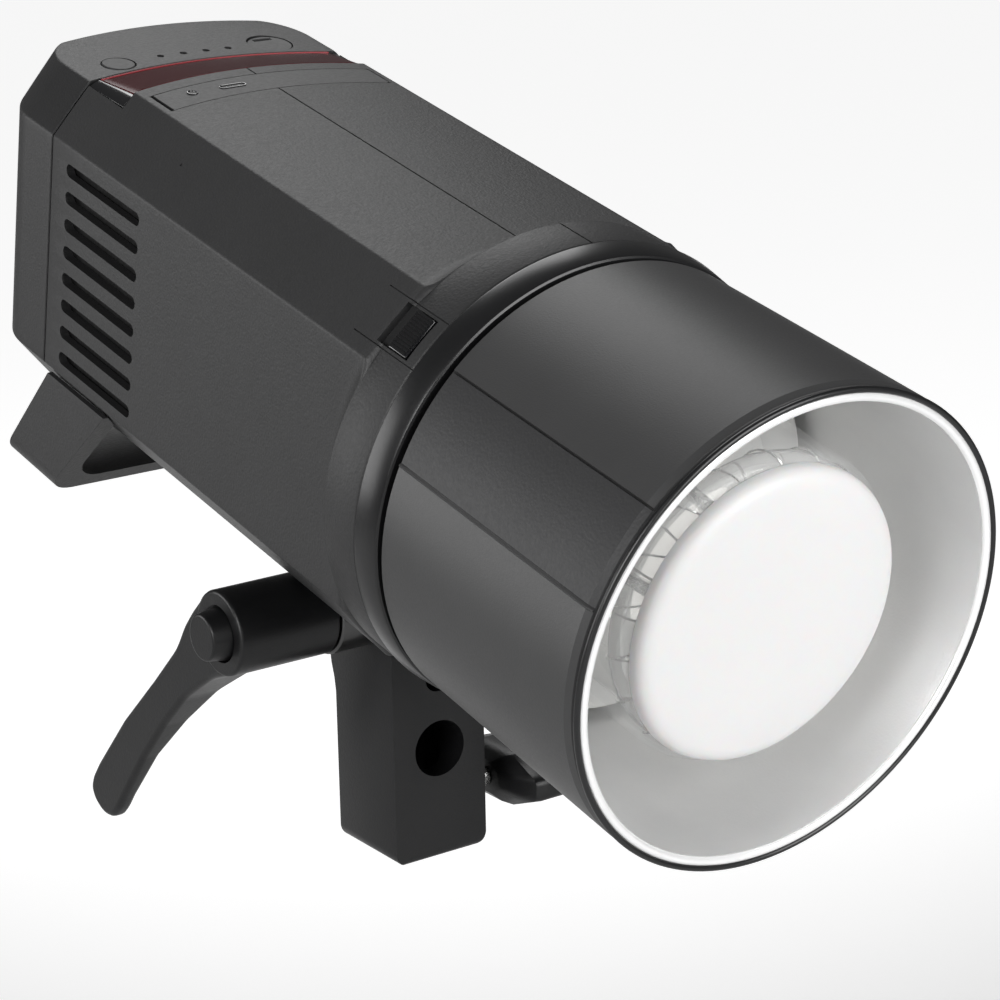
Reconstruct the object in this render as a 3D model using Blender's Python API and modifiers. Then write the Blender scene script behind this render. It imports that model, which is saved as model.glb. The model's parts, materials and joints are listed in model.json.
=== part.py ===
"""Monolight strobe on a tilting stand bracket.

Metres, +Z up. The origin is the centre of the bracket's flat underside, where the stand enters.
The lamp faces -Y. The head is modelled in its own frame, whose origin is the tilt axis, and an
empty tips that frame nose-down.
"""
import math

import bmesh
import bpy
from mathutils import Matrix, Vector

# ---- driving dimensions, metres -------------------------------------------------------------
GAP = 0.0003                    # air between neighbouring pieces
HEAD_R = 0.0625                 # radius of the reflector and of the head's front collar
TILT = math.radians(11.85)      # how far the nose points down at rest
PIVOT_Z = 0.0745                # height of the tilt axis over the bracket's underside
AXIS_UP = 0.0641                # lamp axis over the tilt axis
PIVOT_BACK = 0.1530             # tilt axis behind the reflector's rim

# stations behind the reflector's rim
REFLECTOR_END = 0.0815
RING_FRONT = 0.0826
RING_BACK = 0.0907
COLLAR_END = 0.1045             # the round collar ends and slopes down to the flats
SEAM_SIDE = 0.2666              # joint between body and battery, at the sides
BOW = 0.0068                    # how much further back that joint is at the middle
BATTERY_BACK = 0.3038

# body cross-section: an octagon with long flats, from the lamp axis
TOP_Z = 0.0525
TOP_EDGE = (0.0374, 0.0508)
SIDE_EDGE = (0.0532, 0.0344)
LOW_EDGE = (0.0381, -0.0512)
WALL = 0.0026
BATTERY_TOP = 0.0488
BATTERY_TOP_EDGE = (0.0405, 0.0476)

# bracket
BRACKET_HALF_W = 0.0150
BRACKET_HALF_D = 0.0144
HUB_R = 0.0118
FORK_HALF = 0.0074              # half the slot between the bracket's two cheeks
TONGUE_HALF = 0.0063
SPIGOT_R = 0.0081               # bores for a 16 mm stand spigot
FRONT_BORE_Z = 0.0322
UMBRELLA_Z = 0.0530
UMBRELLA_R = 0.0041
CLAMP_Z = 0.0135

# vents, top strips, release slider, control panel, battery fittings
VENT_ROWS = {-1: 8, 1: 6}       # on the left and on the right, where a latch takes two rows' room
VENT_TOP = 0.0277
VENT_PITCH = 0.0081
VENT_H = 0.0038
VENT_FRONT = 0.2168
VENT_BACK = 0.2578
PORT_FRONT = 0.2363
PORT_BACK = 0.2480
PORT_HALF = 0.0352
WINDOW_FRONT = 0.2536
WINDOW_BACK = 0.2730
WINDOW_HALF = 0.0420
PORT_DEPTH = 0.0016             # recess under the port cover
WINDOW_FLOOR = 0.0450
SLIDER_WINDOW = (0.0945, 0.1072)  # slot of the reflector release, along the lamp axis
SLIDER_S = (0.0950, 0.1026)
SLIDER_HALF = 0.0060
PANEL_S = (0.1280, 0.2060)
PANEL_HALF = 0.0300
DIAL_S = 0.1960
DIAL_UP = -0.0010
POWER_UP = 0.0190
BUTTONS = 3
BUTTON_UP = -0.0225
LATCH_S = (0.2440, 0.2585)
LATCH_Z = (-0.0285, -0.0215)
LATCH_TRAVEL = 0.0035
TUBE_R = 0.0342                 # ring flash tube: its middle circle, station and own radius
TUBE_S = 0.0195
TUBE_RADIUS = 0.0042
POST_R = 0.0270                 # circle of the two terminal posts
POST_FRONT = 0.0228
POST_ANGLES = (-20.0, -79.0)
LAMP_BASE_S = 0.0600
CORNER_R = 0.0234               # the battery's rear corners, seen from above
GAUGE_S = 0.2783
GAUGE_X = -0.0268
SOCKET_X = 0.0242
SOCKET_S = 0.2803
LIGHT_S = 0.2795
LIGHT_XS = (-0.0126, -0.0051, 0.0023, 0.0096)
CELL_PITCH = 0.0190
PLATE_TOP = 0.0415
HANDLE_TOP_Z = -0.0386

CHAMFER_ANGLE = math.atan2(SIDE_EDGE[0] + TOP_EDGE[0], SIDE_EDGE[1] + TOP_EDGE[1])


# ---- helpers --------------------------------------------------------------------------------
def clear_scene():
    for obj in list(bpy.data.objects):
        bpy.data.objects.remove(obj, do_unlink=True)


def new_collection(name):
    coll = bpy.data.collections.new(name)
    bpy.context.scene.collection.children.link(coll)
    return coll


def material(name, color, roughness=0.5, metallic=0.0):
    mat = bpy.data.materials.get(name)
    if mat:
        return mat
    mat = bpy.data.materials.new(name)
    mat.use_nodes = True
    mat.diffuse_color = (*color, 1.0)
    shader = mat.node_tree.nodes["Principled BSDF"]
    shader.inputs["Base Color"].default_value = (*color, 1.0)
    shader.inputs["Roughness"].default_value = roughness
    shader.inputs["Metallic"].default_value = metallic
    return mat


clear_scene()
PARTS = new_collection("monolight_strobe")
CUTTERS = new_collection("cutters")

MATERIALS = {
    "shell": material("shell_plastic", (0.055, 0.055, 0.058), 0.55),
    "collar": material("ring_gloss", (0.02, 0.02, 0.022), 0.25),
    "reflector": material("reflector_black", (0.05, 0.05, 0.055), 0.4, 0.3),
    "silver": material("reflector_silver", (0.75, 0.75, 0.75), 0.35, 0.9),
    "frost": material("frosted_glass", (0.92, 0.92, 0.92), 0.6),
    "glass": material("clear_glass", (0.85, 0.88, 0.9), 0.05),
    "metal": material("bracket_black", (0.03, 0.03, 0.032), 0.4, 0.4),
    "steel": material("bright_steel", (0.6, 0.6, 0.6), 0.3, 1.0),
    "red": material("sensor_red", (0.16, 0.012, 0.018), 0.12),
    "rubber": material("soft_rubber", (0.045, 0.045, 0.047), 0.7),
    "board": material("circuit_board", (0.02, 0.12, 0.05), 0.5),
    "cell": material("sleeve_blue", (0.05, 0.1, 0.3), 0.4),
    "screen": material("display_glass", (0.01, 0.012, 0.015), 0.08),
    "white": material("ceramic_white", (0.8, 0.8, 0.78), 0.5),
}

HEAD = bpy.data.objects.new("head_pose", None)
HEAD.location = (0.0, 0.0, PIVOT_Z)
HEAD.rotation_euler = (TILT, 0.0, 0.0)
PARTS.objects.link(HEAD)


def back(station):
    """Head-frame Y of a place this far behind the reflector's rim."""
    return station - PIVOT_BACK


def place(obj, kind, in_head):
    obj.data.materials.append(MATERIALS[kind])
    PARTS.objects.link(obj)
    if in_head:
        obj.parent = HEAD
    return obj


def finish(name, bm, kind, in_head=True, smooth=30.0, origin=(0, 0, 0)):
    """Turn a bmesh, drawn in its frame, into a named part whose origin is at the given place."""
    bmesh.ops.recalc_face_normals(bm, faces=bm.faces)
    bmesh.ops.translate(bm, verts=bm.verts, vec=-Vector(origin))
    mesh = bpy.data.meshes.new(name)
    bm.to_mesh(mesh)
    bm.free()
    if smooth:
        mesh.shade_smooth()
        mesh.set_sharp_from_angle(angle=math.radians(smooth))
    obj = bpy.data.objects.new(name, mesh)
    obj.location = origin
    return place(obj, kind, in_head)


def bevel(obj, width, segments=1, angle=30.0):
    mod = obj.modifiers.new("edges", "BEVEL")
    mod.width = width
    mod.segments = segments
    mod.limit_method = "ANGLE"
    mod.angle_limit = math.radians(angle)
    return obj


def cutter(bm, in_head=True):
    bmesh.ops.recalc_face_normals(bm, faces=bm.faces)
    mesh = bpy.data.meshes.new("cutter")
    bm.to_mesh(mesh)
    bm.free()
    obj = bpy.data.objects.new("cutter", mesh)
    CUTTERS.objects.link(obj)
    obj.hide_render = True
    obj.display_type = "WIRE"
    if in_head:
        obj.parent = HEAD
    return obj


def cut(obj, tool):
    mod = obj.modifiers.new("cut", "BOOLEAN")
    mod.operation = "DIFFERENCE"
    mod.object = tool
    return obj


def box_mesh(low, high, bm=None):
    bm = bm or bmesh.new()
    size = Vector(high) - Vector(low)
    centre = (Vector(high) + Vector(low)) / 2
    made = bmesh.ops.create_cube(bm, size=1.0)["verts"]
    bmesh.ops.scale(bm, verts=made, vec=size)
    bmesh.ops.translate(bm, verts=made, vec=centre)
    return bm


def rod_mesh(start, end, radius, radius_end=None, sides=32, bm=None):
    bm = bm or bmesh.new()
    start, end = Vector(start), Vector(end)
    radius_end = radius if radius_end is None else radius_end
    turn = Vector((0, 0, 1)).rotation_difference(end - start).to_matrix().to_4x4()
    bmesh.ops.create_cone(bm, cap_ends=True, segments=sides, radius1=radius, radius2=radius_end,
                          depth=(end - start).length,
                          matrix=Matrix.Translation((start + end) / 2) @ turn)
    return bm


def box(name, low, high, kind, in_head=True, edge=0.0, origin=None):
    centre = (Vector(low) + Vector(high)) / 2
    obj = finish(name, box_mesh(low, high), kind, in_head, 0, centre if origin is None else origin)
    return bevel(obj, edge) if edge else obj


def rod(name, start, end, radius, kind, in_head=True, sides=32, edge=0.0, radius_end=None):
    bm = rod_mesh(start, end, radius, radius_end, sides)
    obj = finish(name, bm, kind, in_head, 40, start)
    return bevel(obj, edge, 1, 50) if edge else obj


def turned(name, profile, kind, steps=56):
    """A piece turned round the lamp axis; profile is (station, radius) down its outer side,
    front to back, then back along its inner side."""
    mesh = bpy.data.meshes.new(name)
    points = [(radius, 0.0, -station) for station, radius in profile]
    edges = [(i, (i + 1) % len(points)) for i in range(len(points))]
    if profile[0][1] == 0.0 and profile[-1][1] == 0.0:
        edges.pop()
    mesh.from_pydata(points, edges, [])
    obj = bpy.data.objects.new(name, mesh)
    screw = obj.modifiers.new("turn", "SCREW")
    screw.steps = steps
    screw.render_steps = steps
    screw.use_merge_vertices = True
    screw.merge_threshold = 0.00001
    screw.use_smooth_shade = True
    obj.location = (0.0, back(0.0), AXIS_UP)
    obj.rotation_euler = (math.radians(90), 0.0, 0.0)
    return place(obj, kind, True)


def loft(bm, rings, cap_start=True, cap_end=True):
    """Skin a run of rings that have the same number of corners."""
    rows = [[bm.verts.new(point) for point in ring] for ring in rings]
    count = len(rows[0])
    for row, after in zip(rows, rows[1:]):
        for i in range(count):
            j = (i + 1) % count
            bm.faces.new((row[i], row[j], after[j], after[i]))
    if cap_start:
        bm.faces.new(rows[0])
    if cap_end:
        bm.faces.new(rows[-1])
    return rows


def slab(outline, near, far):
    """A side-on outline of (y, z) made solid between two x; far may depend on y."""
    depth = far if callable(far) else (lambda y: far)
    bm = bmesh.new()
    loft(bm, [[(near, y, z) for y, z in outline], [(depth(y), y, z) for y, z in outline]])
    return bm


def arc(centre, radius, start, end, count):
    """Points on a circle from one angle to another, in degrees."""
    step = (end - start) / (count - 1)
    angles = [math.radians(start + step * i) for i in range(count)]
    return [(centre[0] + radius * math.cos(a), centre[1] + radius * math.sin(a)) for a in angles]


def tube(name, points, radius, kind, resolution=2):
    curve = bpy.data.curves.new(name, "CURVE")
    curve.dimensions = "3D"
    curve.bevel_depth = radius
    curve.bevel_resolution = resolution
    curve.use_fill_caps = True
    spline = curve.splines.new("POLY")
    spline.points.add(len(points) - 1)
    for point, where in zip(spline.points, points):
        point.co = (*where, 1.0)
    return place(bpy.data.objects.new(name, curve), kind, True)


# ---- the head's shape -----------------------------------------------------------------------
def arched_top(x, top, edge):
    """Height of a shallow arched top, and of the chamfer past its edge."""
    x = abs(x)
    if x <= edge[0]:
        return top - (top - edge[1]) * (x / edge[0]) ** 2
    return edge[1] - (x - edge[0]) * (edge[1] - SIDE_EDGE[1]) / (SIDE_EDGE[0] - edge[0])


def body_top(x):
    return arched_top(x, TOP_Z, TOP_EDGE)


def battery_top(x):
    return arched_top(x, BATTERY_TOP, BATTERY_TOP_EDGE)


def section(top, edge, inset=0.0):
    """Right half of a cross-section, top centre to bottom centre, moved in by the wall."""
    points = [(x, arched_top(x, top, edge)) for x in (0.0, edge[0] / 3, edge[0] / 1.5, edge[0])]
    points += [SIDE_EDGE, (SIDE_EDGE[0], -SIDE_EDGE[1]), LOW_EDGE, (0.0, LOW_EDGE[1] - 0.0002)]
    if not inset:
        return points
    lines = []
    for (x0, z0), (x1, z1) in zip(points, points[1:]):
        length = math.hypot(x1 - x0, z1 - z0)
        nx, nz = (z1 - z0) / length, -(x1 - x0) / length
        lines.append((nx, nz, nx * x0 + nz * z0 + inset))
    inner = [(0.0, lines[0][2] / lines[0][1])]
    for (a, b, c), (d, e, f) in zip(lines, lines[1:]):
        det = a * e - b * d
        inner.append(((c * e - b * f) / det, (a * f - c * d) / det))
    inner.append((0.0, lines[-1][2] / lines[-1][1]))
    return inner


def reach(outline, angle):
    """Distance from the axis to the outline, at an angle from the top."""
    dx, dz = math.sin(angle), math.cos(angle)
    for (x0, z0), (x1, z1) in zip(outline, outline[1:]):
        ex, ez = x1 - x0, z1 - z0
        det = ex * dz - ez * dx
        if abs(det) < 1e-12:
            continue
        along = (z0 * dx - x0 * dz) / det
        x, z = x0 + along * ex, z0 + along * ez
        if -1e-6 <= along <= 1 + 1e-6 and x * dx + z * dz > 0:
            return math.hypot(x, z)
    return abs(outline[0][1])


def half_angles(outline, count=18):
    """Even angles from top to bottom, with the outline's own corners put in."""
    angles = [math.pi * i / count for i in range(count + 1)]
    for x, z in outline[1:-1]:
        corner = math.atan2(x, z)
        nearest = min(range(1, count), key=lambda i: abs(angles[i] - corner))
        angles[nearest] = corner
    return angles


def seam(x, middle):
    """A joint across the head, bowed back towards its middle."""
    return middle - BOW * (x / SIDE_EDGE[0]) ** 2


def half_ring(outline, angles, station, radius, side, bowed):
    """Half a body ring; in front it is round, and behind the collar it slopes to the flats."""
    ring = []
    for angle in angles:
        slope = radius - max(0.0, station - COLLAR_END)
        r = max(reach(outline, angle), slope)
        if station <= COLLAR_END:
            r = radius
        x, z = r * math.sin(angle), r * math.cos(angle)
        y = seam(x, station) if bowed else station
        ring.append((side * max(x, GAP / 2), back(y), z + AXIS_UP))
    return ring


BODY_END = SEAM_SIDE + BOW - GAP
BODY_STATIONS = (RING_BACK + GAP, COLLAR_END, 0.1068, 0.1092, 0.1120, 0.1155, 0.2300, BODY_END)


def shell_half(name, side):
    """One moulded half of the body: an open C of even wall, from collar to battery joint."""
    outer = section(TOP_Z, TOP_EDGE)
    inner = section(TOP_Z, TOP_EDGE, WALL)
    angles = half_angles(outer)
    rings = []
    for station in BODY_STATIONS:
        bowed = station == BODY_END
        out = half_ring(outer, angles, station, HEAD_R, side, bowed)
        into = half_ring(inner, angles, station, HEAD_R - WALL, side, bowed)
        rings.append(out + into[::-1])
    bm = bmesh.new()
    made = loft(bm, rings, cap_start=False, cap_end=False)
    for row in (made[0], made[-1]):
        for i in range(len(angles) - 1):
            bm.faces.new((row[i], row[i + 1], row[-i - 2], row[-i - 1]))
    return finish(name, bm, "shell", smooth=20)


def vent_cutter(side):
    """Level slots through one side wall, near the battery."""
    bm = bmesh.new()
    for row in range(VENT_ROWS[side]):
        z = AXIS_UP + VENT_TOP - row * VENT_PITCH
        near, far = sorted((side * 0.045, side * 0.060))
        box_mesh((near, back(VENT_FRONT), z - VENT_H / 2), (far, back(VENT_BACK), z + VENT_H / 2), bm)
    return cutter(bm)


def bowed_block(front, rear, half_w, floor, front_top, rear_top):
    """A block whose ends follow the bowed joint; its heights are functions of x."""
    crease = TOP_EDGE[0]
    xs = [half_w * (i / 8 - 1) for i in range(17)]
    xs = sorted([x for x in xs if abs(abs(x) - crease) > 0.001] + [-crease, crease] * (half_w > crease))
    rings = []
    for x in xs:
        f, r = back(seam(x, front)), back(seam(x, rear))
        rings.append([(x, f, AXIS_UP + floor(x)), (x, r, AXIS_UP + floor(x)),
                      (x, r, AXIS_UP + rear_top(x)), (x, f, AXIS_UP + front_top(x))])
    bm = bmesh.new()
    loft(bm, rings)
    return bm


def chamfer_frame():
    """Matrix whose Z stands on the upper left chamfer and whose Y runs to the rear."""
    out = Vector((-math.sin(CHAMFER_ANGLE), 0.0, math.cos(CHAMFER_ANGLE)))
    along = Vector((0.0, 1.0, 0.0))
    turn = Matrix((along.cross(out), along, out)).transposed().to_4x4()
    foot = out * HEAD_R
    return Matrix.Translation((foot.x, 0.0, foot.z + AXIS_UP)) @ turn


def slider_block(stations, grow, low, high):
    bm = box_mesh((-SLIDER_HALF - grow, back(stations[0]) - grow, low),
                  (SLIDER_HALF + grow, back(stations[1]) + grow, high))
    bmesh.ops.transform(bm, matrix=chamfer_frame(), verts=bm.verts)
    return bm


def latch_block(grow, depth, height, travel=0.0):
    return box_mesh((depth, back(LATCH_S[0] - travel) - grow, AXIS_UP + LATCH_Z[0] - grow),
                    (height, back(LATCH_S[1]) + grow, AXIS_UP + LATCH_Z[1] + grow))


def port_sockets():
    """Holes under the port cover for the sync jack and the USB socket."""
    low, high = AXIS_UP + 0.040, AXIS_UP + 0.056
    bm = rod_mesh((-0.0240, back(0.2415), low), (-0.0240, back(0.2415), high), 0.0042, sides=16)
    return box_mesh((-0.0165, back(0.2395), low), (-0.0065, back(0.2440), high), bm)


def make_shells():
    above = lambda x: 0.060
    port = cutter(bowed_block(PORT_FRONT - GAP, PORT_BACK + GAP, PORT_HALF + GAP,
                              lambda x: body_top(x) - PORT_DEPTH, above, above))
    window = cutter(bowed_block(WINDOW_FRONT - GAP, 0.290, WINDOW_HALF + GAP,
                                lambda x: WINDOW_FLOOR - GAP, above, above))
    sockets = cutter(port_sockets())
    low, high = AXIS_UP - PANEL_HALF - GAP, AXIS_UP + PANEL_HALF + GAP
    panel = cutter(box_mesh((0.0508, back(PANEL_S[0] - GAP), low), (0.0600, back(PANEL_S[1] + GAP), high)))
    left = shell_half("body_shell_left", -1)
    right = shell_half("body_shell_right", 1)
    for side, shell in ((-1, left), (1, right)):
        cut(shell, vent_cutter(side))
        cut(shell, port)
        cut(shell, window)
    cut(left, sockets)
    cut(left, cutter(slider_block(SLIDER_WINDOW, 0.0, -0.0020, 0.0040)))
    cut(right, panel)
    cut(right, cutter(latch_block(GAP, 0.0515, 0.0560, LATCH_TRAVEL)))


# ---- front end: ring, lamp, reflector -------------------------------------------------------
def make_front():
    turned("mounting_ring", [(RING_FRONT, 0.0520), (RING_FRONT, 0.0620), (RING_BACK, 0.0630),
                             (RING_BACK, 0.0520)], "collar", 48)
    turned("front_bulkhead", [(0.0925, 0.0), (0.0925, 0.0590), (0.0955, 0.0590), (0.0955, 0.0)],
           "steel", 32)
    turned("lamp_base", [(LAMP_BASE_S, 0.0), (LAMP_BASE_S, 0.0505), (0.0680, 0.0505), (0.0790, 0.0445),
                         (0.0825, 0.0445), (0.0825, 0.0500), (0.0920, 0.0500), (0.0920, 0.0)],
           "white", 32)
    turned("frosted_dome", [(0.0082, 0.0), (0.0083, 0.0340), (0.0092, 0.0367), (0.0110, 0.0382),
                            (0.0127, 0.0384), (0.0127, 0.0364), (0.0114, 0.0360), (0.0103, 0.0340),
                            (0.0102, 0.0)], "frost", 44)
    turned("glass_sleeve", [(0.0130, 0.0368), (0.0130, 0.0384), (0.0155, 0.0406), (0.0180, 0.0410),
                            (0.0597, 0.0410), (0.0597, 0.0393), (0.0182, 0.0393), (0.0158, 0.0389)],
           "glass", 40)
    turned("led_board", [(0.0580, 0.0), (0.0580, 0.0240), (0.0597, 0.0240), (0.0597, 0.0)], "white", 24)
    bevel(finish("release_slider", slider_block(SLIDER_S, 0.0, -0.0017, 0.0006), "collar", smooth=0), 0.0004)


def on_lamp_face(degrees, radius, station):
    """A point round the lamp axis, at an angle from the top."""
    angle = math.radians(degrees)
    return (radius * math.sin(angle), back(station), AXIS_UP + radius * math.cos(angle))


def make_flash_tube():
    """Ring tube open at its foot, where both legs turn back into the lamp base."""
    ring = [on_lamp_face(-150 + 10 * i, TUBE_R, TUBE_S) for i in range(31)]
    foot_x, _, foot_z = ring[0]
    start = [(foot_x + 0.0008 * i, back(s), foot_z)
             for i, s in ((3, LAMP_BASE_S - GAP), (3, 0.0345), (2, 0.0255), (1, 0.0215))]
    end = [(-x, y, z) for x, y, z in reversed(start)]
    tube("flash_tube", start + ring + end, TUBE_RADIUS, "glass")
    wire = [on_lamp_face(-140 + 10 * i, TUBE_R, TUBE_S - TUBE_RADIUS - 0.0009) for i in range(29)]
    tube("trigger_wire", wire, 0.0004, "steel", 1)
    for index, degrees in enumerate(POST_ANGLES):
        rod(f"tube_terminal_{index + 1}", on_lamp_face(degrees, POST_R, POST_FRONT),
            on_lamp_face(degrees, POST_R, LAMP_BASE_S - GAP), 0.0017, "steel", sides=12)


def make_reflector():
    turned("reflector_shell", [(0.0026, 0.0606), (0.0026, 0.0622), (0.0050, HEAD_R - 0.0002),
                               (REFLECTOR_END, 0.0613), (REFLECTOR_END, 0.0601), (0.0060, 0.0612),
                               (0.0045, 0.0606)], "reflector", 48)
    rim = [(0.0010 + 0.0011 * math.sin(a), 0.0614 + 0.0011 * math.cos(a))
           for a in (math.radians(-90 + 60 * i) for i in range(6))]
    turned("reflector_rim", rim, "reflector", 48)
    turned("reflector_liner", [(0.0002, 0.0598), (0.0015, 0.0599), (0.0600, 0.0545), (0.0700, 0.0530),
                               (0.0800, 0.0470), (0.0800, 0.0458), (0.0695, 0.0519), (0.0595, 0.0534),
                               (0.0004, 0.0588)], "silver", 48)


# ---- top strips, battery, control panel -----------------------------------------------------
def make_top():
    cover = bowed_block(PORT_FRONT, PORT_BACK, PORT_HALF, lambda x: body_top(x) - PORT_DEPTH + GAP,
                        body_top, body_top)
    finish("port_cover", cover, "rubber", smooth=20, origin=(0.0, back(PORT_BACK), AXIS_UP + TOP_Z))
    window = bowed_block(WINDOW_FRONT, WINDOW_BACK - GAP, WINDOW_HALF, lambda x: WINDOW_FLOOR,
                         body_top, battery_top)
    finish("sensor_window", window, "red", smooth=20)
    low, high = AXIS_UP + 0.0400, AXIS_UP + 0.0485
    rod("sync_jack", (-0.0240, back(0.2415), low), (-0.0240, back(0.2415), high), 0.0039, "steel", sides=16)
    box("usb_port", (-0.0162, back(0.2398), low), (-0.0068, back(0.2437), high), "steel")


def battery_ring(outline, angles, middle, scale_x=1.0):
    """A full ring of the battery case, bowed like the joint."""
    right = []
    for angle in angles:
        r = reach(outline, angle)
        x, z = r * math.sin(angle) * scale_x, r * math.cos(angle)
        right.append((x, back(seam(x, middle)), z + AXIS_UP))
    left = [(-x, y, z) for x, y, z in reversed(right[1:-1])]
    return right + left


def corner_scale(distance, radius):
    """Scale across the case where its rear corners round off, this far from its back."""
    depth = max(0.0, radius - distance)
    return 1.0 - (radius - math.sqrt(max(0.0, radius ** 2 - depth ** 2))) / SIDE_EDGE[0]


def cup(outer, inner):
    """An open-fronted cup: outer rings front to rear, inner rings front to rear."""
    bm = bmesh.new()
    out_rows = loft(bm, outer, cap_start=False)
    in_rows = loft(bm, inner, cap_start=False)
    count = len(out_rows[0])
    for i in range(count):
        j = (i + 1) % count
        bm.faces.new((out_rows[0][i], out_rows[0][j], in_rows[0][j], in_rows[0][i]))
    return bm


def battery_holes():
    low, high = AXIS_UP + 0.040, AXIS_UP + 0.052
    holes = rod_mesh((GAUGE_X, back(GAUGE_S), low), (GAUGE_X, back(GAUGE_S), high), 0.0051, sides=24)
    rod_mesh((SOCKET_X, back(SOCKET_S), low), (SOCKET_X, back(SOCKET_S), high), 0.0069, sides=24, bm=holes)
    for x in LIGHT_XS:
        rod_mesh((x, back(LIGHT_S), low), (x, back(LIGHT_S), high), 0.0011, sides=10, bm=holes)
    return holes


def plate_low(x):
    """Bottom of the battery's front plate, inside the case's lower chamfers."""
    return max(-0.0482, -0.0470 + (abs(x) - 0.0375) * 1.113)


def plate_high(x):
    return min(PLATE_TOP, 0.0430 - (abs(x) - BATTERY_TOP_EDGE[0]) * 1.039)


def make_battery_case():
    front = SEAM_SIDE + BOW + GAP
    outline = section(BATTERY_TOP, BATTERY_TOP_EDGE)
    angles = half_angles(outline)
    stations = (front, 0.2815, 0.2880, 0.2935, 0.2980, 0.3010, 0.3028, BATTERY_BACK)
    outer = [battery_ring(outline, angles, s, corner_scale(BATTERY_BACK + 0.0004 - s, CORNER_R))
             for s in stations]
    outline = section(BATTERY_TOP, BATTERY_TOP_EDGE, WALL)
    stations = (front, 0.2850, 0.2920, 0.2970, 0.3010)
    inner = [battery_ring(outline, angles, s, corner_scale(BATTERY_BACK - 0.0022 - s, CORNER_R))
             for s in stations]
    case = finish("battery_case", cup(outer, inner), "shell", smooth=20)
    cut(case, cutter(battery_holes()))
    plate = bowed_block(front + 0.0004, front + 0.0024, 0.0480, plate_low, plate_high, plate_high)
    finish("battery_plate", plate, "rubber", smooth=20)


def upright(name, x, station, low, high, radius, kind, sides, edge=0.0):
    rod(name, (x, back(station), AXIS_UP + low), (x, back(station), AXIS_UP + high), radius, kind,
        sides=sides, edge=edge)


def make_battery_fittings():
    for index in range(4):
        x = (index - 1.5) * CELL_PITCH
        upright(f"battery_cell_{index + 1}", x, seam(x, 0.2872), -0.0380, 0.0270, 0.0088, "cell", 16)
    upright("gauge_button", GAUGE_X, GAUGE_S, 0.0430, 0.0492, 0.0048, "rubber", 24, 0.0004)
    for index, x in enumerate(LIGHT_XS):
        upright(f"gauge_light_{index + 1}", x, LIGHT_S, 0.0415, 0.0486, 0.0008, "white", 10)
    upright("charge_cover", SOCKET_X, SOCKET_S, 0.0463, 0.0482, 0.0066, "rubber", 24, 0.0003)


def side_box(name, stations, heights, low, high, kind, edge=0.0):
    """A box on the right side wall; low and high are measured out from the wall's face."""
    x = SIDE_EDGE[0]
    return box(name, (x + low, back(stations[0]), AXIS_UP + heights[0]),
               (x + high, back(stations[1]), AXIS_UP + heights[1]), kind, edge=edge)


def side_rod(station, height, low, high, radius, sides, bm=None, radius_end=None):
    x = SIDE_EDGE[0]
    return rod_mesh((x + low, back(station), AXIS_UP + height), (x + high, back(station), AXIS_UP + height),
                    radius, radius_end, sides, bm)


def button_station(index):
    return 0.1400 + 0.0230 * index


def make_panel():
    """Control panel on the right side: plate, display window, three buttons, dial, power button."""
    x = SIDE_EDGE[0]
    plate = side_box("panel_plate", PANEL_S, (-PANEL_HALF, PANEL_HALF), -0.0021, 0.0008, "rubber", 0.0004)
    wells = box_mesh((x - 0.0012, back(0.1320), AXIS_UP - 0.0020),
                     (x + 0.0040, back(0.1860), AXIS_UP + 0.0260))
    side_rod(DIAL_S, POWER_UP, -0.0045, 0.0040, 0.0044, 20, wells)
    for index in range(BUTTONS):
        s = button_station(index)
        z = AXIS_UP + BUTTON_UP
        box_mesh((x - 0.0045, back(s - 0.0055), z - 0.0035),
                 (x + 0.0040, back(s + 0.0055), z + 0.0035), wells)
    cut(plate, cutter(wells))
    side_box("display_window", (0.1323, 0.1857), (-0.0017, 0.0257), -0.0009, 0.0009, "screen")
    for index in range(BUTTONS):
        s = button_station(index)
        side_box(f"panel_button_{index + 1}", (s - 0.0051, s + 0.0051),
                 (BUTTON_UP - 0.0031, BUTTON_UP + 0.0031), -0.0008, 0.0022, "shell", 0.0005)
    stud = side_rod(DIAL_S, POWER_UP, -0.0008, 0.0022, 0.0040, 20)
    origin = (x - 0.0008, back(DIAL_S), AXIS_UP + POWER_UP)
    bevel(finish("power_button", stud, "shell", smooth=40, origin=origin), 0.0004, angle=50)
    knob = side_rod(DIAL_S, DIAL_UP, 0.0011, 0.0095, 0.0098, 32, None, 0.0092)
    origin = (x + 0.0011, back(DIAL_S), AXIS_UP + DIAL_UP)
    bevel(finish("control_dial", knob, "collar", smooth=40, origin=origin), 0.0006, angle=50)
    latch = finish("battery_latch", latch_block(0.0, x - 0.0013, x + 0.0016), "collar", smooth=0)
    bevel(latch, 0.0005)


# ---- inside ---------------------------------------------------------------------------------
def make_inside():
    box("rear_bulkhead", (-0.0480, back(0.2600), AXIS_UP - 0.0350),
        (0.0480, back(0.2620), AXIS_UP + 0.0350), "steel")
    box("main_board", (-0.0340, back(0.1000), AXIS_UP + 0.0310),
        (0.0340, back(0.2050), AXIS_UP + 0.0326), "board")
    for index, (x, z) in enumerate(((-0.0215, -0.0240), (0.0215, -0.0240), (0.0, 0.0110))):
        rod(f"flash_capacitor_{index + 1}", (x, back(0.1080), AXIS_UP + z), (x, back(0.2000), AXIS_UP + z),
            0.0175, "cell", sides=24, edge=0.0008)
    frame = box("fan_frame", (-0.0490, back(0.2090), AXIS_UP - 0.0300),
                (-0.0340, back(0.2590), AXIS_UP + 0.0200), "rubber")
    start, end = (-0.055, back(0.2340), AXIS_UP - 0.005), (-0.030, back(0.2340), AXIS_UP - 0.005)
    cut(frame, cutter(rod_mesh(start, end, 0.0235, sides=32)))
    make_rotor((-0.0415, back(0.2340), AXIS_UP - 0.0050))


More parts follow.
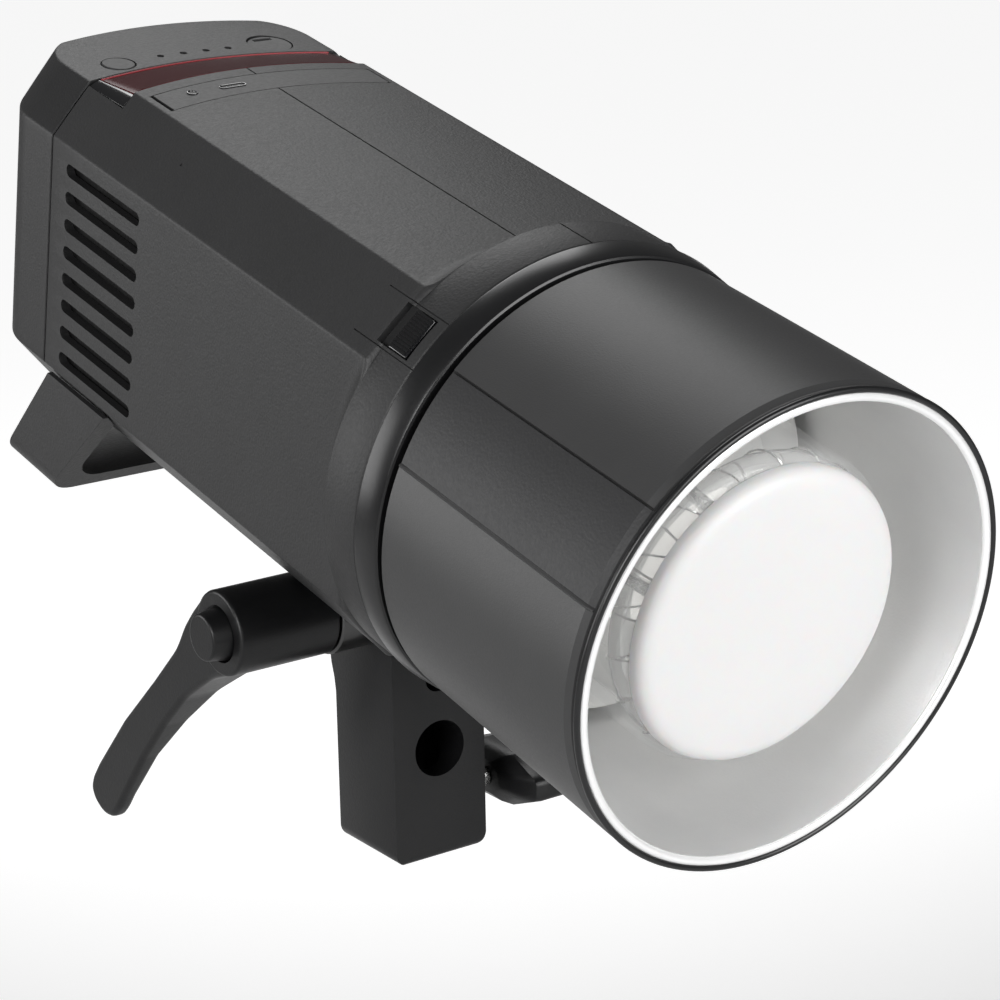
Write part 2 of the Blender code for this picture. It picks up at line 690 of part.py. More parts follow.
def make_rotor(centre):
    """Hub with seven swept blades, made as one star-shaped slab."""
    outline = []
    blades = 7
    middle = (centre[1], centre[2])
    for blade in range(blades):
        turn = 360.0 / blades * blade
        outline += arc(middle, 0.0090, turn, turn + 12, 3)
        outline += arc(middle, 0.0215, turn + 26, turn + 40, 3)
        outline += arc(middle, 0.0090, turn + 34, turn + 44, 2)
    rotor = slab(outline, centre[0] - 0.005, centre[0] + 0.005)
    finish("fan_rotor", rotor, "rubber", smooth=0, origin=centre)


# ---- handle, bracket, clamps ----------------------------------------------------------------
def low_chamfer(x):
    """Height of the body's lower chamfer, less a small gap."""
    slope = (SIDE_EDGE[1] + LOW_EDGE[1]) / (SIDE_EDGE[0] - LOW_EDGE[0])
    return -SIDE_EDGE[1] + slope * (SIDE_EDGE[0] - x) - 0.0007


def leaning(profile, station, drop):
    """The handle's profile, carried back as it goes down."""
    return [(x, back(station + (HANDLE_TOP_Z - z) * drop), z + AXIS_UP) for x, z in profile]


def make_handle():
    """Grab handle: a strap bent into a U, which leans back as it drops."""
    outer, inner = 0.0530, 0.0470
    edge = [(outer - 0.0015, low_chamfer(outer - 0.0015)), (outer, low_chamfer(outer) - 0.0018)]
    edge += arc((outer - 0.0090, -0.0662), 0.0090, 0, -90, 6)
    hollow = arc((inner - 0.0100, -0.0600), 0.0100, -90, 0, 6) + [(inner, low_chamfer(inner))]
    profile = edge + [(-x, z) for x, z in reversed(edge)] + [(-x, z) for x, z in reversed(hollow)] + hollow
    bm = bmesh.new()
    loft(bm, [leaning(profile, 0.2325, 0.842), leaning(profile, 0.2655, 0.700)])
    bevel(finish("grab_handle", bm, "shell", smooth=35), 0.0012, angle=50)


def make_tongue():
    top = LOW_EDGE[1] - 0.0005 + AXIS_UP
    outline = [(0.0330, top), (-0.0330, top), (-0.0330, top - 0.0020), (-0.0130, top - 0.0020)]
    outline += arc((0.0, 0.0), 0.0130, 180, 360, 17) + [(0.0130, top - 0.0020), (0.0330, top - 0.0020)]
    tongue = finish("tilt_tongue", slab(outline, -TONGUE_HALF, TONGUE_HALF), "metal", smooth=25)
    cut(tongue, cutter(rod_mesh((-0.02, 0, 0), (0.02, 0, 0), 0.0043, sides=24)))


def cut_fixed(obj, start, end, radius, radius_end=None, sides=32):
    return cut(obj, cutter(rod_mesh(start, end, radius, radius_end, sides), False))


def make_bracket():
    """Block with a fork at its top; its rear edge flares out to the fork."""
    d = BRACKET_HALF_D
    outline = arc((-d + 0.002, 0.002), 0.002, 180, 270, 4) + arc((d - 0.002, 0.002), 0.002, 270, 360, 4)
    outline += [(d, 0.0440), (0.0150, 0.0480), (0.0162, 0.0520), (0.0170, 0.0570), (0.0168, 0.0640),
                (0.0145, 0.0710)]
    outline += arc((0.0, PIVOT_Z), HUB_R - 0.0002, 5, 175, 14) + [(-d, 0.0660), (-d, 0.0600)]
    block = finish("bracket_block", slab(outline, -BRACKET_HALF_W, BRACKET_HALF_W), "metal", False, 25)
    bevel(block, 0.0010, angle=40)
    floor = arc((0.0, PIVOT_Z), 0.0142, 225, 315, 8)
    slot = [(-0.03, 0.11), (-0.03, floor[0][1])] + floor + [(0.03, floor[0][1]), (0.03, 0.11)]
    cut(block, cutter(slab(slot, -FORK_HALF, FORK_HALF), False))
    cut_fixed(block, (0, 0, -0.01), (0, 0, 0.0440), SPIGOT_R)
    cut_fixed(block, (0, -0.03, FRONT_BORE_Z), (0, 0.0110, FRONT_BORE_Z), SPIGOT_R - 0.00005)
    cut_fixed(block, (0, -d - 0.0012, FRONT_BORE_Z), (0, -d + 0.0006, FRONT_BORE_Z),
              SPIGOT_R + 0.0018, SPIGOT_R)
    cut_fixed(block, (0, -0.03, UMBRELLA_Z), (0, 0.03, UMBRELLA_Z), UMBRELLA_R, sides=20)
    cut_fixed(block, (0.004, 0, CLAMP_Z), (0.03, 0, CLAMP_Z), 0.0033, sides=20)
    cut_fixed(block, (0.002, 0, UMBRELLA_Z), (0.03, 0, UMBRELLA_Z), 0.0023, sides=16)
    cut_fixed(block, (-0.03, 0, PIVOT_Z), (0.03, 0, PIVOT_Z), 0.0043, sides=24)


def make_clamps():
    rod("clamp_screw", (0.0086, 0, CLAMP_Z), (0.0246, 0, CLAMP_Z), 0.0030, "steel", False, 20)
    quarter = ((0.0200, 0.0030), (0.0170, 0.0042), (0.0080, 0.0078))
    wing = [*quarter, *((-y, z) for y, z in reversed(quarter)), *((-y, -z) for y, z in quarter),
            *((y, -z) for y, z in reversed(quarter))]
    sizes = ((0.0250, 0.36, 0.62), (0.0290, 1.0, 1.0), (0.0390, 1.0, 1.0), (0.0420, 0.8, 0.8))
    rings = [[(x, y * grow_y, CLAMP_Z + z * grow_z) for y, z in wing] for x, grow_y, grow_z in sizes]
    bm = bmesh.new()
    loft(bm, rings)
    bevel(finish("clamp_knob", bm, "metal", False, 30, (0.0250, 0, CLAMP_Z)), 0.0010)
    rings = []
    for x, radius in ((0.0045, 0.0020), (0.0185, 0.0020), (0.0185, 0.0062), (0.0262, 0.0062)):
        turns = [math.tau * i / 20 for i in range(20)]
        rings.append([(x, radius * math.cos(a), UMBRELLA_Z + radius * math.sin(a)) for a in turns])
    bm = bmesh.new()
    loft(bm, rings)
    bevel(finish("umbrella_screw", bm, "metal", False, 40, (0.0045, 0, UMBRELLA_Z)), 0.0005, angle=50)


def washer(name, start, end, radius, kind, sides=32):
    obj = rod(name, (start, 0, PIVOT_Z), (end, 0, PIVOT_Z), radius, kind, False, sides)
    return cut_fixed(obj, (-0.035, 0, PIVOT_Z), (0.035, 0, PIVOT_Z), 0.0042, sides=24)


def make_tilt_lock():
    rod("tilt_bolt", (-0.0285, 0, PIVOT_Z), (0.0205, 0, PIVOT_Z), 0.0039, "steel", False, 24)
    washer("friction_washer_left", -0.0071, -0.0067, 0.0112, "white")
    washer("friction_washer_right", 0.0067, 0.0071, 0.0112, "white")
    washer("spacer_ring", -0.0284, -0.0153, 0.0123, "steel", 36)
    nut = finish("bolt_nut", rod_mesh((0.0171, 0, PIVOT_Z), (0.0228, 0, PIVOT_Z), 0.0072, sides=6), "steel",
                 False, 0, (0.0171, 0, PIVOT_Z))
    cut_fixed(nut, (0.01, 0, PIVOT_Z), (0.0208, 0, PIVOT_Z), 0.0042, sides=24)
    make_lever()
    rod("lever_button", (-0.0575, 0, PIVOT_Z), (-0.0649, 0, PIVOT_Z), 0.0075, "metal", False, 32,
        0.0006, 0.0064)


def make_lever():
    """Round hub with an arm that sweeps back and down, and thins towards its tip."""
    face, foot = -0.0596, -0.0288
    hub = rod_mesh((face, 0, PIVOT_Z), (foot, 0, PIVOT_Z), HUB_R, sides=40)
    lever = finish("tilt_lever", hub, "metal", False, 40, (face, 0, PIVOT_Z))
    bevel(lever, 0.0010, angle=50)
    upper = [(0.0005, 0.0862), (0.0090, 0.0832), (0.0160, 0.0765), (0.0209, 0.0710), (0.0260, 0.0632),
             (0.0396, 0.0500), (0.0587, 0.0324), (0.0757, 0.0140), (0.0800, 0.0085)]
    tip = [(0.0812, 0.0050), (0.0795, 0.0014), (0.0746, -0.0016), (0.0690, -0.0012), (0.0655, 0.0020)]
    lower = [(0.0615, 0.0071), (0.0481, 0.0236), (0.0353, 0.0374), (0.0230, 0.0490), (0.0155, 0.0541),
             (0.0080, 0.0590), (-0.0021, 0.0629)]
    arm = slab(upper + tip + lower, face, lambda y: face + 0.0060 + 0.0110 * max(0.0, 1 - y / 0.060))
    join = lever.modifiers.new("arm", "BOOLEAN")
    join.operation = "UNION"
    join.object = cutter(arm, False)
    cut_fixed(lever, (-0.070, 0, PIVOT_Z), (-0.0545, 0, PIVOT_Z), 0.0079)
    cut_fixed(lever, (-0.0300, 0, PIVOT_Z), (-0.0270, 0, PIVOT_Z), 0.0042, sides=24)


make_shells()
make_front()
make_flash_tube()
make_reflector()
make_top()
make_battery_case()
make_battery_fittings()
make_panel()
make_inside()
make_handle()
make_tongue()
make_bracket()
make_clamps()
make_tilt_lock()
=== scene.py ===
"""Fine model of the monolight strobe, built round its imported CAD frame."""
import json
import math

import bmesh
import bpy
from mathutils import Matrix, Vector


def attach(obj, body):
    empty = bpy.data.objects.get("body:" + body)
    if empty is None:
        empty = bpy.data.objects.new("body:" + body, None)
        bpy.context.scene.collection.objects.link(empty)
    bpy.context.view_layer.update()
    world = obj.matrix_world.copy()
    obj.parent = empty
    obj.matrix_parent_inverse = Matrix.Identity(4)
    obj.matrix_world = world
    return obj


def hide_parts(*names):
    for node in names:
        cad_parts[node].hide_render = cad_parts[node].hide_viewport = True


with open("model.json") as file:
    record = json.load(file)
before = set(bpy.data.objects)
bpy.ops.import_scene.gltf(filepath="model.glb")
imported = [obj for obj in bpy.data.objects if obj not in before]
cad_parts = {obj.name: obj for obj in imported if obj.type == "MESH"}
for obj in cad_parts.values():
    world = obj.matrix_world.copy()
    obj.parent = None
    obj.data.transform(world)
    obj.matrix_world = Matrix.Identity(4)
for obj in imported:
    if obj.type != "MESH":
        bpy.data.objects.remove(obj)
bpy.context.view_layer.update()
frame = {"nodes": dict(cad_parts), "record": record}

# ---- dimensions ---------------------------------------------------------------------------------
# Metres and degrees. The head is drawn as x to the panel side, station behind the reflector's rim and
# height over the lamp axis; the bracket and the lever are drawn in world coordinates.
GAP = 0.0003
HEAD_R = 0.0625
TILT = math.radians(11.85)
PIVOT_Z = 0.0745
AXIS_UP = 0.0641
PIVOT_BACK = 0.1530
REFLECTOR_END = 0.0815
RING_BACK = 0.0907
COLLAR_END = 0.1045
SEAM_SIDE = 0.2666
BOW = 0.0068
BATTERY_BACK = 0.3047
TOP_Z = 0.0525
TOP_EDGE = (0.0374, 0.0508)
SIDE_EDGE = (0.0532, 0.0344)
LOW_EDGE = (0.0381, -0.0512)
WALL = 0.0028
BATTERY_TOP = 0.0488
BATTERY_TOP_EDGE = (0.0405, 0.0476)
PORT_FRONT, PORT_BACK, PORT_HALF = 0.2363, 0.2480, 0.0352
WINDOW_FRONT, WINDOW_BACK, WINDOW_HALF, WINDOW_LOW = 0.2536, 0.2727, 0.0410, 0.0450
WINDOW_ENDS = 0.0374
BAND_MIDDLE, BAND_HALF, BAND_DEPTH = -60.1, 12.0, 0.0002
GAUGE_X, GAUGE_S = -0.0268, 0.2783
SOCKET_X, SOCKET_S = 0.0242, 0.2803
LIGHTS_X = (-0.0126, -0.0051, 0.0023, 0.0096)
LIGHTS_S = 0.2795
CORNER_R = 0.0165
REAR_EDGE = 0.0012
PANEL_FRONT, PANEL_BACK, PANEL_HALF = 0.1280, 0.2060, 0.0300
KEY_STATIONS = (0.1400, 0.1630, 0.1860)
KNOB_S, POWER_H, DIAL_H = 0.1960, 0.0190, -0.0010
LATCH_FRONT, LATCH_BACK = 0.2440, 0.2585
HALF_W = 0.0150
HALF_D = 0.0144
HUB_R = 0.0118
BOLT_R = 0.0043
FOOT_R = 0.0042
CLAMP_Z = 0.0135
SPIGOT_Z = 0.0322
UMBRELLA_Z = 0.0530
LEVER_FACE, LEVER_FOOT = -0.0596, -0.0288
CHAMFER_ANGLE = math.atan2(SIDE_EDGE[0] + TOP_EDGE[0], SIDE_EDGE[1] + TOP_EDGE[1])
TUBE_R = 0.0342
TUBE_S = 0.0195
TUBE_RADIUS = 0.0042
POST_ANGLES = (-29.0, -72.0)
TURNS = 160

HEAD = (Matrix.Translation((0, 0, PIVOT_Z)) @ Matrix.Rotation(TILT, 4, "X")
        @ Matrix.Translation((0, -PIVOT_BACK, AXIS_UP)))
WORLD = Matrix.Identity(4)


# ---- looks --------------------------------------------------------------------------------------
def node(tree, kind, inputs=None, **settings):
    """Add a shader node; an input is a value, or another node's output to link."""
    made = tree.nodes.new(kind)
    for key, value in settings.items():
        setattr(made, key, value)
    for key, value in (inputs or {}).items():
        socket = made.inputs[key]
        if isinstance(value, bpy.types.NodeSocket):
            tree.links.new(value, socket)
        else:
            socket.default_value = value
    return made


def look(name, color, rough, metallic=0.0, tone=0.12, grain=0.0, size=0.0005, **sockets):
    """A Principled finish with drifting tone and roughness, and a pebbled grain of real size."""
    mat = bpy.data.materials.new(name)
    mat.use_nodes = True
    tree = mat.node_tree
    shader = tree.nodes["Principled BSDF"]
    where = node(tree, "ShaderNodeTexCoord").outputs["Object"]
    drift = node(tree, "ShaderNodeTexNoise", {"Vector": where, "Scale": 55.0, "Detail": 3.0})
    mix = node(tree, "ShaderNodeMix", {0: drift.outputs["Fac"]}, data_type="RGBA")
    mix.inputs[6].default_value = (*[c * (1 - tone) for c in color], 1.0)
    mix.inputs[7].default_value = (*[min(1.0, c * (1 + tone)) for c in color], 1.0)
    tree.links.new(mix.outputs[2], shader.inputs["Base Color"])
    fine = node(tree, "ShaderNodeTexNoise", {"Vector": where, "Scale": 0.6 / size, "Detail": 2.0})
    sheen = node(tree, "ShaderNodeMapRange", {"Value": fine.outputs["Fac"], "To Min": rough * 0.86,
                                              "To Max": rough * 1.14})
    tree.links.new(sheen.outputs["Result"], shader.inputs["Roughness"])
    shader.inputs["Metallic"].default_value = metallic
    if grain:
        cells = node(tree, "ShaderNodeTexVoronoi", {"Vector": where, "Scale": 1.0 / size, "Smoothness": 0.7},
                     feature="SMOOTH_F1")
        height = node(tree, "ShaderNodeMix", {0: 0.5, 2: cells.outputs["Distance"],
                                              3: fine.outputs["Fac"]})
        bump = node(tree, "ShaderNodeBump", {"Height": height.outputs[0], "Distance": grain,
                                             "Strength": 1.0})
        tree.links.new(bump.outputs["Normal"], shader.inputs["Normal"])
    for key, value in sockets.items():
        shader.inputs[key.replace("_", " ")].default_value = value
    mat.diffuse_color = (*color, 1.0)
    return mat


LOOKS = {
    "shell_plastic": look("charcoal_plastic", (0.021, 0.021, 0.0215), 0.52, grain=0.00010, size=0.0007,
                          Specular_IOR_Level=0.45),
    "battery_plastic": look("battery_plastic", (0.015, 0.015, 0.0155), 0.50, grain=0.00008, size=0.0006,
                            Specular_IOR_Level=0.45),
    "ring_gloss": look("ring_gloss", (0.008, 0.008, 0.0085), 0.30, grain=0.000006, size=0.0006,
                       Specular_IOR_Level=0.5),
    "reflector_black": look("satin_paint", (0.036, 0.036, 0.0365), 0.46, grain=0.00003, size=0.0004,
                            Specular_IOR_Level=0.55),
    "band_paint": look("stippled_paint", (0.024, 0.024, 0.025), 0.52, grain=0.00008, size=0.0007,
                       Specular_IOR_Level=0.5),
    "reflector_silver": look("stippled_silver", (0.84, 0.84, 0.84), 0.42, 0.75, tone=0.05, grain=0.00004,
                             size=0.0006),
    # The lip's near-white, mostly non-metal colour is partly its own silver and partly a painted highlight
    # that keeps it bright.
    "lip_painted_highlight": look("lip_painted_highlight", (0.94, 0.94, 0.94), 0.22, 0.35, tone=0.03, grain=0.000004),
    "frosted_glass": look("frosted_glass", (0.69, 0.69, 0.69), 0.45, tone=0.015, grain=0.00001,
                          size=0.0005, Subsurface_Weight=0.25, Subsurface_Scale=0.004),
    "clear_glass": look("clear_glass", (0.95, 0.96, 0.96), 0.05, tone=0.02, Alpha=0.12,
                        Specular_IOR_Level=0.6),
    "tube_glass": look("tube_glass", (0.98, 0.98, 0.97), 0.05, tone=0.02, grain=0.00006, size=0.0035,
                       Transmission_Weight=0.8, IOR=1.45),
    "bracket_black": look("cast_paint", (0.005, 0.005, 0.0055), 0.38, 0.0, grain=0.00004, size=0.0006,
                          Specular_IOR_Level=0.42),
    "bright_steel": look("machined_steel", (0.62, 0.62, 0.61), 0.27, 1.0, tone=0.08, grain=0.000006),
    "sensor_red": look("sensor_red", (0.060, 0.003, 0.005), 0.16, tone=0.2, Specular_IOR_Level=0.25),
    # Lighter red for the line along the window's rear edge, a painted highlight.
    "red_edge_highlight": look("red_edge_highlight", (0.36, 0.045, 0.055), 0.22, tone=0.1, Coat_Weight=0.6),
    "black_gloss": look("black_gloss", (0.006, 0.006, 0.007), 0.10, tone=0.2, Coat_Weight=0.8),
    "soft_rubber": look("soft_rubber", (0.016, 0.016, 0.0165), 0.55, grain=0.00005, size=0.0007,
                        Sheen_Weight=0.05),
    "circuit_board": look("circuit_board", (0.02, 0.12, 0.05), 0.45, tone=0.25, grain=0.00003, size=0.0020),
    "sleeve_blue": look("sleeve_blue", (0.03, 0.07, 0.22), 0.4, tone=0.15, grain=0.00001),
    "display_glass": look("display_glass", (0.008, 0.010, 0.012), 0.08, tone=0.25, Coat_Weight=1.0),
    "ceramic_white": look("ceramic_white", (0.82, 0.82, 0.80), 0.45, tone=0.04, grain=0.00002),
    "dark_steel": look("dark_steel", (0.10, 0.10, 0.10), 0.30, 1.0, tone=0.1, grain=0.00001),
    "led_glow": look("led_glow", (0.85, 0.84, 0.80), 0.4, tone=0.05, Emission_Color=(1.0, 0.98, 0.95, 1.0),
                     Emission_Strength=0.6),
    # Near-black for the sheets behind the vents, a painted shade.
    "vent_painted_shade": look("vent_painted_shade", (0.004, 0.004, 0.004), 0.7, grain=0.0004, size=0.0012,
                      Specular_IOR_Level=0.2),
    "grey_mark": look("grey_mark", (0.12, 0.12, 0.12), 0.5, tone=0.1),
    "light_dot": look("light_dot", (0.05, 0.05, 0.052), 0.3, tone=0.2),
}


# ---- making pieces ------------------------------------------------------------------------------
def mesh_object(name, bm, matrix=HEAD, smooth=30.0):
    """An object from a bmesh, which is used up; shaded smooth up to an angle in degrees."""
    bmesh.ops.recalc_face_normals(bm, faces=bm.faces)
    mesh = bpy.data.meshes.new(name)
    bm.to_mesh(mesh)
    bm.free()
    mesh.shade_smooth()
    mesh.set_sharp_from_angle(angle=math.radians(smooth))
    obj = bpy.data.objects.new(name, mesh)
    bpy.context.scene.collection.objects.link(obj)
    obj.matrix_world = matrix
    return obj


def edge_round(obj, width, segments=2, angle=35.0):
    """Bevel the sharp edges, and let the flat faces keep their flat shading."""
    mod = obj.modifiers.new("edges", "BEVEL")
    mod.width = width
    mod.segments = segments
    mod.limit_method = "ANGLE"
    mod.angle_limit = math.radians(angle)
    normals = obj.modifiers.new("normals", "WEIGHTED_NORMAL")
    normals.keep_sharp = True


def settle(obj):
    """Replace the mesh by what its modifiers make of it."""
    bpy.context.view_layer.update()
    done = bpy.data.meshes.new_from_object(obj.evaluated_get(bpy.context.evaluated_depsgraph_get()))
    obj.modifiers.clear()
    obj.data = done
    return obj


def carve(obj, *tools, operation="DIFFERENCE", smooth=30.0):
    """Cut each bmesh, drawn in the same frame, out of the piece."""
    helpers = []
    for bm in tools:
        helper = mesh_object("tool", bm, obj.matrix_world.copy())
        helpers.append(helper)
        mod = obj.modifiers.new("cut", "BOOLEAN")
        mod.operation = operation
        mod.object = helper
    settle(obj)
    for helper in helpers:
        bpy.data.objects.remove(helper, do_unlink=True)
    obj.data.shade_smooth()
    obj.data.set_sharp_from_angle(angle=math.radians(smooth))
    return obj


def show(obj, kind, body, *nodes, edge=0.0, segments=2, angle=35.0):
    """Give a piece its finish and its body, and hide the CAD nodes it stands for."""
    if edge:
        edge_round(obj, edge, segments, angle)
        settle(obj)
    obj.data.transform(obj.matrix_world)
    obj.matrix_world = Matrix.Identity(4)
    obj.data.materials.clear()
    obj.data.materials.append(LOOKS[kind])
    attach(obj, body)
    if nodes:
        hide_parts(*nodes)
    return obj


def loft(rings, caps=True, bm=None, close=False):
    """Skin a run of rings; caps shuts its ends, close joins the last ring to the first."""
    bm = bm or bmesh.new()
    rows = [[bm.verts.new(point) for point in ring] for ring in rings]
    pairs = list(zip(rows, rows[1:])) + ([(rows[-1], rows[0])] if close else [])
    count = len(rows[0])
    for row, after in pairs:
        for i in range(count):
            j = (i + 1) % count
            bm.faces.new((row[i], row[j], after[j], after[i]))
    if caps and not close:
        bm.faces.new(rows[0])
        bm.faces.new(rows[-1])
    return bm


def block(low, high, bm=None):
    """A box between two opposite corners."""
    (x0, y0, z0), (x1, y1, z1) = low, high
    rings = [[(x, y0, z0), (x, y1, z0), (x, y1, z1), (x, y0, z1)] for x in (x0, x1)]
    return loft(rings, bm=bm)


def rod(start, end, radius, radius_end=None, sides=48, bm=None):
    """A round bar, or a cone when its end has a radius of its own."""
    bm = bm or bmesh.new()
    start, end = Vector(start), Vector(end)
    turn = Vector((0, 0, 1)).rotation_difference(end - start).to_matrix().to_4x4()
    bmesh.ops.create_cone(bm, cap_ends=True, segments=sides, radius1=radius,
                          radius2=radius if radius_end is None else radius_end,
                          depth=(end - start).length,
                          matrix=Matrix.Translation((start + end) / 2) @ turn)
    return bm


def turns_of(count):
    return [math.tau * k / count for k in range(count)]


def arc(centre, radius, start, end, count):
    """Points along a circle, from one angle in degrees to another."""
    step = (end - start) / (count - 1)
    angles = [math.radians(start + step * i) for i in range(count)]
    return [(centre[0] + radius * math.cos(a), centre[1] + radius * math.sin(a)) for a in angles]


def fillet(points, radius, steps=5, closed=True):
    """Round an outline's corners; radius is one number, or one per corner."""
    radii = radius if isinstance(radius, (list, tuple)) else [radius] * len(points)
    out = []
    last = len(points) - 1
    for i, (point, r) in enumerate(zip(points, radii)):
        if r == 0 or (not closed and i in (0, last)):
            out.append(tuple(point))
            continue
        here = Vector(point)
        to_a, to_b = Vector(points[i - 1]) - here, Vector(points[(i + 1) % len(points)]) - here
        reach = r / math.tan(to_a.angle(to_b) / 2)
        reach = min(reach, 0.48 * to_a.length, 0.48 * to_b.length)
        a, b = here + to_a.normalized() * reach, here + to_b.normalized() * reach
        for k in range(steps + 1):
            t = k / steps
            out.append(tuple(a * (1 - t) ** 2 + here * 2 * t * (1 - t) + b * t * t))
    return out


def smooth_step(t):
    """0 to 1 with a soft start and end."""
    t = min(1.0, max(0.0, t))
    return t * t * (3 - 2 * t)


def divide(points, longest):
    """Add points so that no step along an open outline is too long."""
    out = [points[0]]
    for (x0, z0), (x1, z1) in zip(points, points[1:]):
        count = max(1, math.ceil(math.hypot(x1 - x0, z1 - z0) / longest))
        out += [(x0 + (x1 - x0) * k / count, z0 + (z1 - z0) * k / count) for k in range(1, count + 1)]
    return out


def extrude(outline, axis, low, high, bm=None):
    """An outline in the other two axes, carried from low to high along one axis."""
    def at(value, pair):
        point = list(pair)
        point.insert(axis, value)
        return tuple(point)
    return loft([[at(value, pair) for pair in outline] for value in (low, high)], bm=bm)


def revolve(profile, closed=True):
    """Turn (station, radius) points round the lamp axis; an open profile starts and ends on the axis."""
    rows = [[(r * math.sin(a), s, r * math.cos(a)) for s, r in profile] for a in turns_of(TURNS)]
    if closed:
        return loft(rows, close=True)
    bm = loft([[row[i] for row in rows] for i in range(1, len(profile) - 1)], caps=False)
    bm.verts.ensure_lookup_table()
    count = len(bm.verts)
    for station, first in ((profile[0][0], 0), (profile[-1][0], count - TURNS)):
        tip = bm.verts.new((0.0, station, 0.0))
        bm.verts.ensure_lookup_table()
        for i in range(TURNS):
            bm.faces.new((bm.verts[first + i], bm.verts[first + (i + 1) % TURNS], tip))
    return bm


def sweep(points, radius, sides=12):
    """A round wire or tube along a run of points."""
    points = [Vector(p) for p in points]
    side = (points[1] - points[0]).orthogonal().normalized()
    rings = []
    for i, point in enumerate(points):
        ahead = (points[min(i + 1, len(points) - 1)] - points[max(i - 1, 0)]).normalized()
        side = (side - ahead * side.dot(ahead)).normalized()
        other = ahead.cross(side)
        rings.append([point + radius * (side * math.cos(math.tau * k / sides)
                                        + other * math.sin(math.tau * k / sides)) for k in range(sides)])
    return loft(rings)


# ---- the head's shape ---------------------------------------------------------------------------
def arch_at(x, top, edge):
    return top - (top - edge[1]) * (x / edge[0]) ** 2


def chamfer_at(x, edge):
    return edge[1] - (x - edge[0]) * (edge[1] - SIDE_EDGE[1]) / (SIDE_EDGE[0] - edge[0])


def arched_top(x, top, edge):
    """Height of the bowed top and its chamfers."""
    x = abs(x)
    return arch_at(x, top, edge) if x <= edge[0] else chamfer_at(x, edge)


def body_top(x):
    return arched_top(x, TOP_Z, TOP_EDGE)


def battery_top(x):
    return arched_top(x, BATTERY_TOP, BATTERY_TOP_EDGE)


def soft_top(x, top, edge, soft=0.0030):
    """The same, with a rounded shoulder where the two meet."""
    x = abs(x)
    return -blend_max(-arch_at(x, top, edge), -chamfer_at(x, edge), soft)


def soft_body(x):
    return soft_top(x, TOP_Z, TOP_EDGE)


def soft_battery(x):
    return soft_top(x, BATTERY_TOP, BATTERY_TOP_EDGE)


def seam(x, middle):
    """Station of the joint between body and battery, which bows forward towards the sides."""
    return middle - BOW * (x / SIDE_EDGE[0]) ** 2


def half_outline(top, edge, corner, longest):
    """Right half of a cross-section, top centre to bottom centre, with softened creases."""
    arch = [(edge[0] * i / 10, arched_top(edge[0] * i / 10, top, edge)) for i in range(11)]
    points = arch + [SIDE_EDGE, (SIDE_EDGE[0], -SIDE_EDGE[1]), LOW_EDGE, (0.0, LOW_EDGE[1] - 0.0002)]
    radii = [0.0] * 10 + [corner] * 4 + [0.0]
    return divide(fillet(points, radii, 5, closed=False), longest)


def blend_max(a, b, soft):
    """The larger of two, with a soft change-over."""
    over = max(soft - abs(a - b), 0.0) / soft
    return max(a, b) + over * over * soft / 4


def body_ring(outline, station, side, inset=0.0):
    """Half ring of the body: round at the collar, then a slope down to the flats."""
    ring = []
    half_gap, blend_length, bow_start = 0.00026, 0.0016, 0.2300
    mix = min(1.0, max(0.0, (station - COLLAR_END) / blend_length))
    rear = max(0.0, (station - bow_start) / (SEAM_SIDE + BOW - bow_start))
    for x, z in outline:
        r = math.hypot(x, z)
        ramp = HEAD_R - max(0.0, station - COLLAR_END)
        reach = HEAD_R * (1 - mix) + blend_max(r, ramp, 0.0050) * mix - inset
        px, pz = x / r * reach, z / r * reach
        y = station - BOW * (px / SIDE_EDGE[0]) ** 2 * rear
        ring.append((side * max(px, half_gap), y, pz))
    return ring


def body_half(side):
    """One moulded half of the body, an open C of even wall."""
    outline = half_outline(TOP_Z, TOP_EDGE, 0.0014, 0.0016)
    end = SEAM_SIDE + BOW - GAP
    front = RING_BACK + GAP
    stations = [(front, 0.0004), (front + 0.0003, 0.0001), (front + 0.0006, 0.0)]
    stations += [(COLLAR_END - 0.0004, 0.0), (COLLAR_END, 0.0001)]
    stations += [(COLLAR_END + 0.00035 * i, 0.0) for i in range(1, 40)]
    stations += [(s, 0.0) for s in (0.1210, 0.1400, 0.1650, 0.1900, 0.2150, 0.2300, 0.2480)]
    stations += [(end - 0.0006, 0.0), (end - 0.0003, 0.0001), (end, 0.0004)]
    rings = []
    for station, inset in stations:
        out = body_ring(outline, station, side, inset)
        rings.append(out + body_ring(outline, station, side, WALL)[::-1])
    bm = bmesh.new()
    loft(rings, caps=False, bm=bm)
    bm.verts.ensure_lookup_table()
    count = len(rings[0])
    for first in (0, len(bm.verts) - count):
        for i in range(len(outline) - 1):
            bm.faces.new([bm.verts[first + k % count] for k in (i, i + 1, count - i - 2, count - i - 1)])
    return bm


def bowed_block(front, rear, half_w, low, front_top, rear_top, steps=64, round_ends=0.0):
    """A block whose ends follow the bowed joint; its heights are functions of x."""
    rings = []
    for i in range(steps + 1):
        x = -half_w * math.cos(math.pi * i / steps)
        inset = 0.0
        if round_ends:
            near = half_w - abs(x)
            inset = round_ends - math.sqrt(max(0.0, round_ends ** 2 - max(0.0, round_ends - near) ** 2))
        f, r = seam(x, front) + inset, seam(x, rear) - inset
        rings.append([(x, f, low(x)), (x, r, low(x)), (x, r, rear_top(x)), (x, f, front_top(x))])
    return loft(rings)


def chamfer_frame():
    """Matrix whose Z stands on the upper left chamfer and whose Y runs to the rear."""
    out = Vector((-math.sin(CHAMFER_ANGLE), 0.0, math.cos(CHAMFER_ANGLE)))
    along = Vector((0.0, 1.0, 0.0))
    turn = Matrix((along.cross(out), along, out)).transposed().to_4x4()
    foot = out * HEAD_R
    return Matrix.Translation((foot.x, 0.0, foot.z)) @ turn


